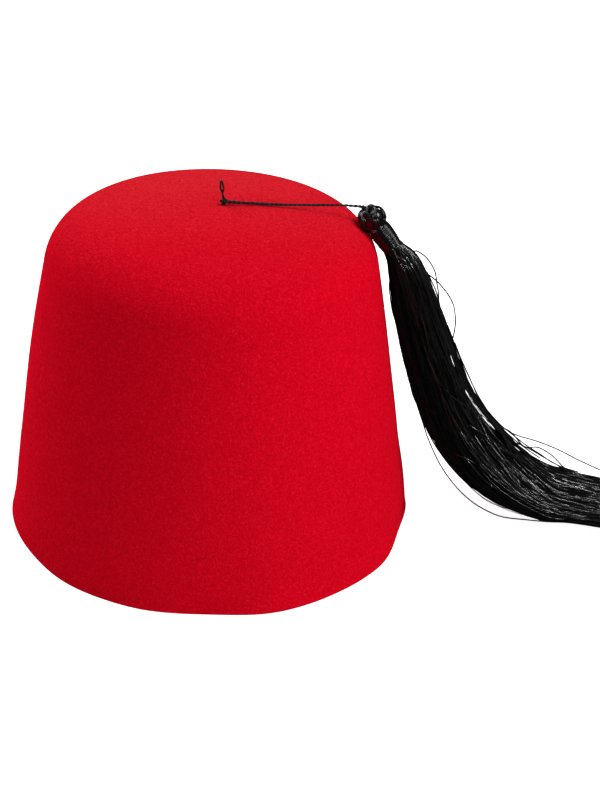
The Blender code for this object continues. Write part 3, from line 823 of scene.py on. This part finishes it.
class HAT_OT_crown(bpy.types.Operator):
    """Make the felt crown: outer face, rounded cut edge and inner face in one skin"""
    bl_idname = "fez.crown"
    bl_label = "Felt crown"

    def execute(self, context):
        felt = context.scene.fez_felt
        outer = felt_profile(*OUTER_ROWS)
        inner = felt_profile(*INNER_ROWS, inward=felt.thickness)[::-1]
        rows = np.concatenate([outer[outer[:, 1] > EDGE_ROUND], cut_edge(felt.thickness),
                               inner[inner[:, 1] > INNER_FOOT]])
        sway = out_of_round(rows[:, 1], CROWN_SEGMENTS)
        sway += soft_dents(len(rows), CROWN_SEGMENTS, felt.unevenness, seed=4)
        sway *= np.minimum(1, rows[:, 0] / ROUND_WITHIN)[:, None]
        points, quads, poles = turned_grid(rows[:, 0], rows[:, 1], CROWN_SEGMENTS, sway)
        piece = new_piece("felt_crown", points, quads, [poles],
                          finish_named("wool_felt", felt_finish, felt))
        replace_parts(piece, "crown")
        return {"FINISHED"}


# ------------------------------------------------------------------ cord, loop and knots

def twisted_pair(route, toward, pitch, offset, radius, sides, shades):
    """Tube parts for two strands twisted round a route, with a shade for each.

    A strand is the route plus `offset` times the cosine and sine of an angle in the two
    directions square to it. The angle grows by a full turn in each `pitch` of length,
    and the second strand is half a turn behind.
    """
    first, second = across(route, toward)
    angle = 2 * np.pi * (walked(route) / pitch + np.array((0.0, 0.5))[:, None])
    offset = np.broadcast_to(offset, route.shape[:1])[:, None]
    strands = route + offset * (np.cos(angle)[..., None] * first + np.sin(angle)[..., None] * second)
    return [(strand[None], radius, sides, (strand - route)[None], shade)
            for strand, shade in zip(strands, shades)]


def joined(parts):
    """Tubes made separately, as one set of points, quads, ends by size, shades and uvs."""
    points, quads, ends, shades, quad_uvs, end_uvs = [], [], {}, [], [], {}
    at = 0
    for paths, radii, sides, toward, shade in parts:
        p, q, e = tube_grid(paths, radii, sides, toward)
        uv = tube_uvs(paths, sides)
        points.append(p)
        quads.append(q + at)
        ends.setdefault(sides, []).append(e + at)
        quad_uvs.append(uv[:len(q) * 4])
        end_uvs.setdefault(sides, []).append(uv[len(q) * 4:])
        shades.append(np.repeat(np.broadcast_to(shade, paths.shape[:2]).ravel(), sides))
        at += len(p)
    kinds = sorted(ends)
    return (np.concatenate(points), np.concatenate(quads), [np.concatenate(ends[k]) for k in kinds],
            np.concatenate(shades),
            np.concatenate(quad_uvs + [np.concatenate(end_uvs[k]) for k in kinds]))


def tubes_piece(name, parts, finish):
    """A piece of silk tubes, each part being paths, radii, sides, a direction and shades."""
    points, quads, ends, shades, uvs = joined(parts)
    return new_piece(name, points, quads, ends, finish, shades=shades, uvs=uvs)


def tubes_over_core(name, parts, core, finish):
    """A piece of silk tubes over a plain dark core in the tassel head's frame.

    The core is a turned grid whose profile runs up the axis, so its faces are turned over.
    """
    points, quads, ends, shades, _ = joined(parts)
    core_points, core_quads, poles = core
    first = len(points)
    return new_piece(name, np.concatenate([points, along_head(core_points)]),
                     np.concatenate([quads, core_quads[:, ::-1] + first]), [*ends, poles[:, ::-1] + first],
                     finish, shades=np.concatenate([shades, np.zeros(len(core_points))]))


def overhand_knot(centre, width, height, thread, points=90):
    """A tied knot: the trefoil curve, sin t + 2 sin 2t and cos t - 2 cos 2t across, sin 3t deep."""
    t = np.linspace(0, 2 * np.pi, points)
    curve = np.stack([(np.sin(t) + 2 * np.sin(2 * t)) / 3 * (width - thread) / 2,
                      -np.sin(3 * t) * thread * 0.55,
                      (np.cos(t) - 2 * np.cos(2 * t)) / 3 * (height - thread) / 2], 1)
    return centre + curve


class HAT_OT_cord(bpy.types.Operator):
    """Make the twisted cord from the foot knot over the felt to the ball"""
    bl_idname = "fez.cord"
    bl_label = "Twisted cord"

    def execute(self, context):
        diameter = context.scene.fez_cord.diameter
        silk = twisted_silk_of(context.scene)
        rows = np.array(CORD_ROUTE)
        moved = window(rows[:, 0], *CORD_MOVED, CORD_MOVED_EASE)[:, None]
        rows = rows + moved * np.array(CORD_MOVED_BY)
        # its ends run on into the foot knot and into the ball
        start = (STEM_X + CORD_START, STEM_Y, rows[0, 2])
        end = rows[-1] + CORD_INTO_BALL * (BALL_CENTRE - rows[-1])
        route = smooth_route([start, *rows, end], 280)
        share = np.linspace(0, 1, len(route))
        fullness = 1.12 - 0.28 * np.clip(share * 1.6, 0, 1) + 0.06 * np.sin(2 * np.pi * 3.3 * share + 1.0)
        parts = twisted_pair(route, (0.0, 0.0, 1.0), context.scene.fez_cord.pitch,
                             0.25 * diameter * fullness, 0.30 * diameter * fullness, 8, (0.25, 0.65))
        # the small knot that stops the cord in front of the ball
        knot = overhand_knot(rows[-1] + CORD_KNOT_SHIFT, *CORD_KNOT, 0.0008)
        tubes_piece("cord_knot", [(knot[None], CORD_KNOT_THREAD / 2, 6, (0.0, 1.0, 0.0), 0.4)], silk)
        piece = tubes_piece("twisted_cord", parts, silk)
        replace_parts(piece, "tassel_cord")
        return {"FINISHED"}


def loop_route(foot):
    """The loop's middle line: up one leg, round the tip and down the other.

    The height is a power of a half turn's sine and the width its cosine. Low down the
    legs are close, and turn three quarters round each other before the eye opens.
    """
    angle = np.linspace(0, np.pi, 150)
    up = np.sin(angle) ** 0.72
    width = LOOP_HALF_WIDTH * np.cos(angle) * np.clip((up - 0.40) / 0.25, 0.22, 1.0)
    twist = 1.5 * np.pi * np.clip((0.52 - up) / 0.42, 0, 1)
    return foot + np.stack([LOOP_LEAN * up + width * np.cos(twist), width * np.sin(twist),
                            LOOP_FOOT + LOOP_TALL * up], 1)


class HAT_OT_loop(bpy.types.Operator):
    """Make the small standing loop, its foot knot and the knot inside the crown"""
    bl_idname = "fez.loop"
    bl_label = "Loop and foot knot"

    def execute(self, context):
        thread = context.scene.fez_cord.loop_thread
        foot = np.array((STEM_X, STEM_Y, surface_height(STEM_X, STEM_Y)))
        up, back = np.array((0.0, 0.0, 1.0)), (0.0, 1.0, 0.0)
        parts = twisted_pair(loop_route(foot), back, LOOP_PITCH, 0.25 * thread, 0.33 * thread, 6, (0.3, 0.5))
        knot = overhand_knot(foot + LOOP_FOOT * up, *FOOT_KNOT, thread)
        middle = knot.mean(axis=0)
        turn = np.array(Matrix.Rotation(SECOND_KNOT_TURN, 3, "Z"))
        second = middle + SECOND_KNOT_SIZE * (knot - middle) @ turn.T + SECOND_KNOT_SHIFT
        parts += [(knot[None], 0.5 * thread, 8, back, 0.5), (second[None], 0.42 * thread, 8, back, 0.3)]
        for end in TAILS:
            tail = foot + smooth_route(np.array(end) * MM, 16)
            parts.append((tail[None], np.linspace(*TAIL_RADII, 16), 5, up, 0.5))
        shank = np.linspace(foot + SHANK[0] * up, foot + SHANK[1] * up, 12)
        parts += twisted_pair(shank, back, LOOP_PITCH, SHANK_OFFSET, SHANK_STRAND_RADIUS, 6, (0.4, 0.4))
        inside = overhand_knot(foot - INNER_KNOT_DEPTH * up, *INNER_KNOT, thread)
        parts.append((inside[None], 0.4 * thread, 6, back, 0.4))
        piece = tubes_piece("thread_loop", parts, twisted_silk_of(context.scene))
        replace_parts(piece, "stem_loop")
        return {"FINISHED"}


# ------------------------------------------------------------------ tassel head

def woven_bands(radius, weave, leads, bights, reach, threads, spacing, points):
    """A woven knot on a ball: (threads, points, 3) about the head's axis.

    The band turns `leads` times round the axis while its angle from the axis swings as a
    cosine, `bights` times in all. It rises and dips by `weave` as the sine of (leads - 1)
    times the swing's angle, so that it passes over and under by turns. The band's
    threads lie side by side, square to its run.
    """
    swing = np.linspace(0, 2 * np.pi * bights, points)
    turn = swing * leads / bights
    polar = np.pi / 2 - reach * np.cos(swing)
    out = np.stack([np.sin(polar) * np.cos(turn), np.sin(polar) * np.sin(turn), np.cos(polar)], 1)
    run = unit(np.gradient(out, axis=0))
    beside = np.cross(out, run)
    place = (np.arange(threads) - (threads - 1) / 2)[:, None, None]
    bent = unit(out + place * spacing / radius * beside)
    rise = weave * np.tanh(1.6 * np.sin((leads - 1) * swing))[None, :, None]
    crown = 1 - 0.012 * place ** 2
    return bent * (radius + rise) * crown, bent


class HAT_OT_ball(bpy.types.Operator):
    """Make the tassel's ball, woven of bands of silk thread over a core"""
    bl_idname = "fez.ball"
    bl_label = "Woven ball"

    def execute(self, context):
        thread = context.scene.fez_threads.knot_thread
        radius = BALL_FULLNESS * BALL_RADIUS
        bands, out = woven_bands(radius - BAND_DEPTH, BAND_RISE, leads=4, bights=5, reach=1.24,
                                 threads=6, spacing=0.92 * thread, points=480)
        shade = np.random.default_rng(11).uniform(0.1, 0.7, (len(bands), 1))
        parts = [(along_head(bands), thread / 2, 5, along_head(out) - BALL_CENTRE, shade)]
        polar = np.linspace(0, np.pi, 20)
        core = radius - BALL_CORE_DEPTH
        piece = tubes_over_core("woven_knot", parts,
                                turned_grid(core * np.sin(polar), -core * np.cos(polar), 36),
                                head_silk_of(context.scene))
        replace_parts(piece, "tassel_knot")
        return {"FINISHED"}


class HAT_OT_neck(bpy.types.Operator):
    """Make the neck: a thread wound close round the head of the tassel"""
    bl_idname = "fez.neck"
    bl_label = "Wound neck"

    def execute(self, context):
        thread = context.scene.fez_threads.winding
        start, end = NECK_ALONG[0], np.linalg.norm(NECK_END - BALL_CENTRE)
        turns = (end - start) / (0.93 * thread)
        t = np.linspace(0, 1, int(turns * 30))
        along = start + (end - start) * t
        # the last turns are the binding's end, laid over the others
        radius = np.interp(along, NECK_ALONG, NECK_RADII)
        radius += END_RING_RISE * np.clip((along - end + END_RING) / 0.0003, 0, 1)
        chance = np.random.default_rng(5)
        wander = np.interp(t, np.linspace(0, 1, 90), chance.normal(0, 0.00005, 90))
        radius += wander - thread / 2
        angle = 2 * np.pi * turns * t
        outward = np.stack([np.cos(angle), np.sin(angle), 0 * t], 1)
        wound = radius[:, None] * outward + (along + 2 * wander)[:, None] * (0.0, 0.0, 1.0)
        shade = np.interp(t, np.linspace(0, 1, 60), chance.uniform(0.1, 0.8, 60))
        # painted highlight in part: the binding's last millimetre takes the lightest colour and sharpest
        # shine, a light line along the ring
        shade = np.where(along > end - 0.0010, 1.0, shade)
        parts = [(along_head(wound)[None], thread / 2, 5, (along_head(outward) - BALL_CENTRE)[None], shade)]
        sleeve = np.linspace(start, end, 16)
        radii = np.interp(sleeve, NECK_ALONG, NECK_RADII) - thread
        core = turned_grid(np.array((0.0, *radii, 0.0)), np.array((start, *sleeve, end)), 28)
        piece = tubes_over_core("neck_winding", parts, core, head_silk_of(context.scene))
        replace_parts(piece, "neck_binding")
        return {"FINISHED"}


# ------------------------------------------------------------------ skirt

def skirt_table():
    """The skirt's sections, with the threads' roots inside the neck before them."""
    axis, _, _ = head_frame()
    roots = [(*(NECK_END - back * axis), radius, radius) for back, radius in SKIRT_ROOTS]
    return np.array(roots + list(SKIRT_SECTIONS))


def skirt_frames(rows):
    """Centre, across, depth, half thickness and half width at fractional rows of the table."""
    table = skirt_table()
    here = rows_at(table, rows)
    along = unit(rows_at(table, rows + 0.15)[..., :3] - rows_at(table, rows - 0.15)[..., :3])
    depth = square_to(along, (0.0, 1.0, 0.0))
    return here[..., :3], np.cross(depth, along), depth, here[..., 3:4], here[..., 4:5]


def skirt_surface(rows, across_share, deep_share):
    """Points in the skirt's sections, at shares of their half thickness and half width."""
    centre, side, depth, half, wide = skirt_frames(rows)
    return centre + across_share[..., None] * half * side + deep_share[..., None] * wide * depth


def rows_by_length(shares):
    """Fractional rows of the skirt's table at shares of its length."""
    table = skirt_table()
    fine = np.linspace(0, len(table) - 1, 400)
    length = walked(rows_at(table, fine)[:, :3])
    return np.interp(shares * length[-1], length, fine)


def lock_fullness(angle, run):
    """How full the skirt is at an angle: locks with shallow valleys that wander along it.

    One less a small part of the square of a valley, which is one less the absolute sine
    of half turns round the skirt, whose phase drifts along it as a sum of sines.
    """
    drift = sum(size * np.sin(rate * run + phase) for size, rate, phase in LOCK_DRIFT)
    valley = 1 - np.abs(np.sin(LOCK_TURNS * (angle + 0.12 * drift)))
    head, added = LOCK_DEPTH
    return 1 - (head + added * np.clip(run / 0.5, 0, 1)) * valley ** 2


def waves(chance, threads, run, table):
    """A sum of sines along the skirt, each thread with rates and phases of its own."""
    total = 0
    for size, slow, fast in table:
        phase = chance.uniform(0, 2 * np.pi, (threads, 1))
        rate = chance.uniform(slow, fast, (threads, 1))
        total = total + size * np.sin(rate * run + phase)
    return total


def strand_places(chance, threads, run):
    """Where threads run in the skirt's section, as shares (across, deep) of its half sizes.

    A thread belongs to a strand. The strand keeps its angle and its depth, both swaying
    as sines that grow along the skirt. The thread turns slowly round its strand and has
    short waves of its own.
    """
    strands = threads // THREADS_IN_STRAND
    own = np.arange(threads) % strands
    along = run[:strands].mean(axis=0, keepdims=True)
    grown = np.sqrt(np.clip(run, 0, 1))
    angle = chance.uniform(0, 2 * np.pi, (strands, 1))
    angle = angle + waves(chance, strands, along, STRAND_ANGLE_WAVES)
    depth = 1 - 0.30 * chance.random((strands, 1)) ** 1.4
    depth = depth + waves(chance, strands, along, STRAND_DEPTH_WAVES)
    angle = angle[own] + grown * waves(chance, threads, run, THREAD_ANGLE_WAVES)
    depth = depth[own] + grown * waves(chance, threads, run, THREAD_DEPTH_WAVES)
    depth = depth * lock_fullness(angle, run)
    spread = STRAND_SPREAD * np.sqrt(chance.random((threads, 1)))
    turn = chance.uniform(0, 2 * np.pi, (threads, 1)) + chance.normal(0, 5.0, (threads, 1)) * run
    return np.stack([depth * np.cos(angle) + spread * np.cos(turn),
                     depth * np.sin(angle) + spread * np.sin(turn)], -1)


def single_places(chance, threads, run):
    """Places of the threads that belong to no strand: on the outside, each with its own bow.

    The bow is a bell curve along the skirt, and most bows stand off towards the hat. A
    few of the threads wander far round the skirt and so cross the others.
    """
    angle = np.where(chance.random((threads, 1)) < 0.35, chance.normal(-0.2, 0.45, (threads, 1)),
                     chance.uniform(0, 2 * np.pi, (threads, 1)))
    far = np.where(chance.random((threads, 1)) < 0.22, 1.3, 0.35)
    angle = angle + chance.normal(0, 1.0, (threads, 1)) * far * run
    angle = angle + waves(chance, threads, run, SINGLE_ANGLE_WAVES)
    bow = chance.uniform(0.0, 1.0, (threads, 1)) ** 2.5 * 0.12 * (1 + np.cos(angle)) / 2
    middle, width = chance.uniform(0.30, 0.78, (threads, 1)), chance.uniform(0.06, 0.14, (threads, 1))
    depth = 0.985 + 0.03 * chance.random((threads, 1)) + bow * np.exp(-((run - middle) / width) ** 2)
    depth = depth + waves(chance, threads, run, SINGLE_DEPTH_WAVES)
    return np.stack([depth * np.cos(angle), depth * np.sin(angle)], -1)


def threads_reach(rows):
    """How far out the threads lie, as a share of the skirt's section at fractional rows."""
    return np.interp(rows, REACH_ROWS, REACH)


def parted(places, rows, held):
    """Opens slits along the skirt's outer side that can be seen through.

    A slit's line lies at a share across the skirt, sheared with the depth so that it
    runs along the view from the front. Threads keep to their own side of it, on which
    they lie at its middle, except those that are `held`, which stay where they are.
    """
    shear = np.interp(rows, SHEAR_ROWS, SHEAR)
    seen = places[..., 0] + shear * places[..., 1]
    for first, last, line, end_line, half in SLITS:
        share = np.clip((rows - first) / (last - first), 0, 1)
        here = line + (end_line - line) * share
        opened = window(rows, first, last, SLIT_EASE)
        opened = opened * opened * (3 - 2 * opened)
        middle = np.argmin(np.abs(rows - (first + last) / 2), axis=1)[:, None]
        outer = np.take_along_axis(seen - here, middle, axis=1) < 0
        wanted = np.where(outer, np.minimum(seen, here - half), np.maximum(seen, here + half))
        seen = np.where(held, seen, seen + opened * (wanted - seen))
    return np.stack([seen - shear * places[..., 1], places[..., 1]], -1)


def skirt_core(finish):
    """The body under the threads: ellipses carried along the skirt, closed at both ends."""
    rings, around = 44, 48
    rows = rows_by_length(np.linspace(0.0, 0.965, rings))[:, None]
    angle = 2 * np.pi * np.arange(around) / around
    taper = np.clip((1 - np.linspace(0, 1, rings)) / 0.06, 0.35, 1)[:, None]
    share = taper * np.interp(rows, CORE_ROWS, CORE_SHARE)
    points = skirt_surface(rows + 0 * angle, share * np.cos(angle), share * np.sin(angle))
    index = np.arange(rings * around).reshape(rings, around)
    # the core's low shade, darker than most threads, is painted shade for the depth between the threads
    return new_piece("skirt_core", points.reshape(-1, 3), quads_between(index)[:, ::-1],
                     [np.stack([index[0, ::-1], index[-1]])], finish,
                     shades=np.full(rings * around, 0.1))


def thread_runs(chance, threads, points):
    """Where the points of each thread lie, as shares of the skirt's length.

    Steps that grow a little along the thread, each moved by less than half a step, from
    the root to an end of the thread's own.
    """
    jitter = chance.uniform(-0.40, 0.40, (threads, points)) / points
    jitter[:, 0] = 0
    end = chance.uniform(0.955, 1.0, (threads, 1))
    run = np.clip((np.linspace(0, 1, points) ** 1.05 + jitter) * end, 0, 1)
    run[:, -1:] = end
    return run


class HAT_OT_skirt(bpy.types.Operator):
    """Make the skirt: a full core and well over a thousand silk threads round it"""
    bl_idname = "fez.skirt"
    bl_label = "Skirt of threads"

    def execute(self, context):
        settings = context.scene.fez_threads
        silk = silk_of(context.scene)
        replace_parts(skirt_core(silk), "tassel_skirt")
        chance = np.random.default_rng(27)
        threads, points = settings.count, THREAD_POINTS
        singles = threads // SINGLES_IN
        run = thread_runs(chance, threads, points)
        places = np.concatenate([single_places(chance, singles, run[:singles]),
                                 strand_places(chance, threads - singles, run[singles:])])
        rows = rows_by_length(run)
        places = places * threads_reach(rows)[..., None]
        places[..., 1] *= np.interp(rows, FLARE_ROWS, FLARE_DEPTH)
        places = parted(places, rows, chance.random((threads, 1)) < 0.02)
        paths = skirt_surface(rows, places[..., 0], places[..., 1])
        radius = settings.thickness / 2 * chance.uniform(0.8, 1.35, (threads, 1))
        radius = np.broadcast_to(radius, (threads, points))
        paths[:, 6:] += chance.normal(0, THREAD_JITTER, (threads, points - 6, 3))
        paths[..., 2] = np.maximum(paths[..., 2], radius + 0.0001)
        # each thread's shade: its own tone, and where it is light, partly painted sheen
        shade = np.broadcast_to(chance.beta(1.2, 2.4, (threads, 1)), (threads, points))
        # the threads that lie towards the hat are dull, as are most of the others
        share = np.where(np.arange(threads) < singles, BRIGHT_SINGLES, BRIGHT_OTHERS)
        bright = chance.random(threads) < share * np.clip(2.0 - 4.0 * places[:, 18, 0], 0, 1)
        outward = paths - skirt_frames(rows)[0]
        for title, chosen, finish, pieces in (("bright", bright, bright_silk_of(context.scene), 1),
                                              ("skirt", ~bright, silk, 3)):
            order = np.flatnonzero(chosen)
            order = order[np.argsort(places[order, 10, 1])]
            for number, part in enumerate(np.array_split(order, pieces), start=1):
                tubes = (paths[part], radius[part], 3, outward[part], shade[part])
                tubes_piece(f"{title}_threads_{number}", [tubes], finish)
        return {"FINISHED"}


class HAT_OT_loose_threads(bpy.types.Operator):
    """Make the single threads that stand off the skirt or lie beside it"""
    bl_idname = "fez.loose_threads"
    bl_label = "Loose threads"

    def execute(self, context):
        radius = LOOSE_THREAD_RADIUS
        # loose threads take a light shade: partly painted sheen along them
        parts = [(smooth_route(np.array(route) * MM, 64)[None], radius, 5, (0.3, 1.0, 0.2), 0.6)
                 for route in LOOSE_THREADS]
        tubes_piece("loose_threads", parts, silk_of(context.scene))
        parts = []
        for turns in CROSSING_THREADS:
            rows, angle = rows_at(np.array(turns), np.linspace(0, len(turns) - 1, 30)).T
            # each end dips in under the threads beside it
            depth = threads_reach(rows) * (1.02 - 0.10 * np.linspace(-1, 1, 30) ** 6)
            path = skirt_surface(rows, depth * np.cos(angle), depth * np.sin(angle))
            # crossing threads take a light shade: painted sheen on top of the bright silk's own shine
            parts.append((path[None], radius, 5, (path - skirt_frames(rows)[0])[None], 0.9))
        tubes_piece("crossing_threads", parts, bright_silk_of(context.scene))
        return {"FINISHED"}


# ------------------------------------------------------------------ stage

def add_light(name, azimuth, elevation, wide, high, power):
    """A large soft light that faces the hat."""
    data = bpy.data.lights.new(name, "AREA")
    data.shape = "RECTANGLE"
    data.size, data.size_y = wide, high
    data.energy = power
    lamp = bpy.data.objects.new(name, data)
    bpy.context.scene.collection.objects.link(lamp)
    turn, rise = np.radians((azimuth, elevation))
    lamp.matrix_world = (Matrix.Translation(LIT_PLACE) @ Matrix.Rotation(turn, 4, "Z")
                         @ Matrix.Rotation(np.pi / 2 - rise, 4, "Y")
                         @ Matrix.Translation((0, 0, LIGHT_DISTANCE)))
    lamp.visible_camera = False
    return lamp


def stage_piece(name, radii, heights, colour, glow):
    """A matt piece of the stage, turned from a profile that runs up, with a glow of its own."""
    points, quads, poles = turned_grid(np.array(radii), np.array(heights), 96)
    made, _, shader = new_finish(name + "_paint", colour, 0.9, 0.0)
    shader.inputs["Emission Color"].default_value = (1.0, 1.0, 1.0, 1.0)
    shader.inputs["Emission Strength"].default_value = glow
    piece = new_mesh_object(name, points, quads[:, ::-1], [poles[:, ::-1]], made)
    return piece


class HAT_OT_stage(bpy.types.Operator):
    """Make the plain pale floor, the soft lights and the camera"""
    bl_idname = "fez.stage"
    bl_label = "Stage"

    def execute(self, context):
        scene = context.scene
        stage = scene.fez_stage
        # floor and backdrop: one turned sweep, flat, then a quarter round, then a wall
        bend = np.linspace(0, np.pi / 2, 16)
        floor = stage_piece("floor", (0.0, 1.0, 2.0, *(FLOOR_FLAT + FLOOR_BEND * np.sin(bend)),
                                      FLOOR_FLAT + FLOOR_BEND, 0.0),
                            (0.0, 0.0, 0.0, *(FLOOR_BEND * (1 - np.cos(bend))), WALL_HEIGHT, WALL_HEIGHT),
                            stage.floor_colour, FLOOR_GLOW)
        floor.visible_diffuse = False
        floor.visible_glossy = False
        floor.visible_shadow = False
        # the light that comes back from the floor is a grey floor's, a hair lower down
        grey = stage_piece("floor_bounce", (0.0, 2.5, 2.5, 0.5, 0.0),
                           (-0.02, -0.02, -0.0001, -0.0001, -0.0001), BOUNCE_GREY, 0.0)
        grey.visible_camera = False
        grey.visible_glossy = False
        for name, placed in LIGHTS.items():
            lamp = add_light(name, *placed, getattr(stage, name + "_power"))
            lamp.visible_glossy = name != "front"
        scene.world = bpy.data.worlds.new("surround")
        scene.world.use_nodes = True
        background = scene.world.node_tree.nodes["Background"]
        background.inputs["Color"].default_value = (1.0, 1.0, 1.0, 1.0)
        background.inputs["Strength"].default_value = stage.surround
        data = bpy.data.cameras.new("camera")
        data.sensor_width = 36.0
        data.lens = CAMERA_LENS
        data.clip_start = 0.01
        camera = bpy.data.objects.new("camera", data)
        scene.collection.objects.link(camera)
        heading, tilt, roll = np.radians(CAMERA_TURN)
        camera.matrix_world = (Matrix.Translation(CAMERA_PLACE) @ Matrix.Rotation(heading, 4, "Z")
                               @ Matrix.Rotation(tilt, 4, "X") @ Matrix.Rotation(roll, 4, "Z"))
        scene.camera = camera
        scene.view_settings.view_transform = "Standard"
        scene.view_settings.look = "None"
        return {"FINISHED"}


# ------------------------------------------------------------------ panel and registration

class HAT_PT_fez(bpy.types.Panel):
    """Lists the hat's pieces and what can be changed on them"""
    bl_label = "Fez Hat"
    bl_idname = "HAT_PT_fez"
    bl_space_type = "VIEW_3D"
    bl_region_type = "UI"
    bl_category = "Fez Hat"

    def draw(self, context):
        for group in GROUPS:
            box = self.layout.box()
            settings = getattr(context.scene, group)
            for name in settings.bl_rna.properties.keys():
                if name not in ("rna_type", "name"):
                    box.prop(settings, name)
        for operator in OPERATORS:
            self.layout.operator(operator.bl_idname)


GROUPS = {
    "fez_felt": FezFeltSettings,
    "fez_threads": FezThreadSettings,
    "fez_cord": FezCordSettings,
    "fez_stage": FezStageSettings,
}
OPERATORS = (HAT_OT_stage, HAT_OT_crown, HAT_OT_loop, HAT_OT_ball, HAT_OT_neck, HAT_OT_cord,
             HAT_OT_skirt, HAT_OT_loose_threads)


CLASSES = (*GROUPS.values(), *OPERATORS, HAT_PT_fez)


def register():
    for kind in CLASSES:
        bpy.utils.register_class(kind)
    for name, kind in GROUPS.items():
        setattr(bpy.types.Scene, name, PointerProperty(type=kind))


def unregister():
    for name in GROUPS:
        delattr(bpy.types.Scene, name)
    for kind in reversed(CLASSES):
        bpy.utils.unregister_class(kind)


def main():
    """Registers the add-on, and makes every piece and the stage."""
    register()
    for operator in OPERATORS:
        group, name = operator.bl_idname.split(".")
        getattr(getattr(bpy.ops, group), name)()


if __name__ == "__main__":
    main()
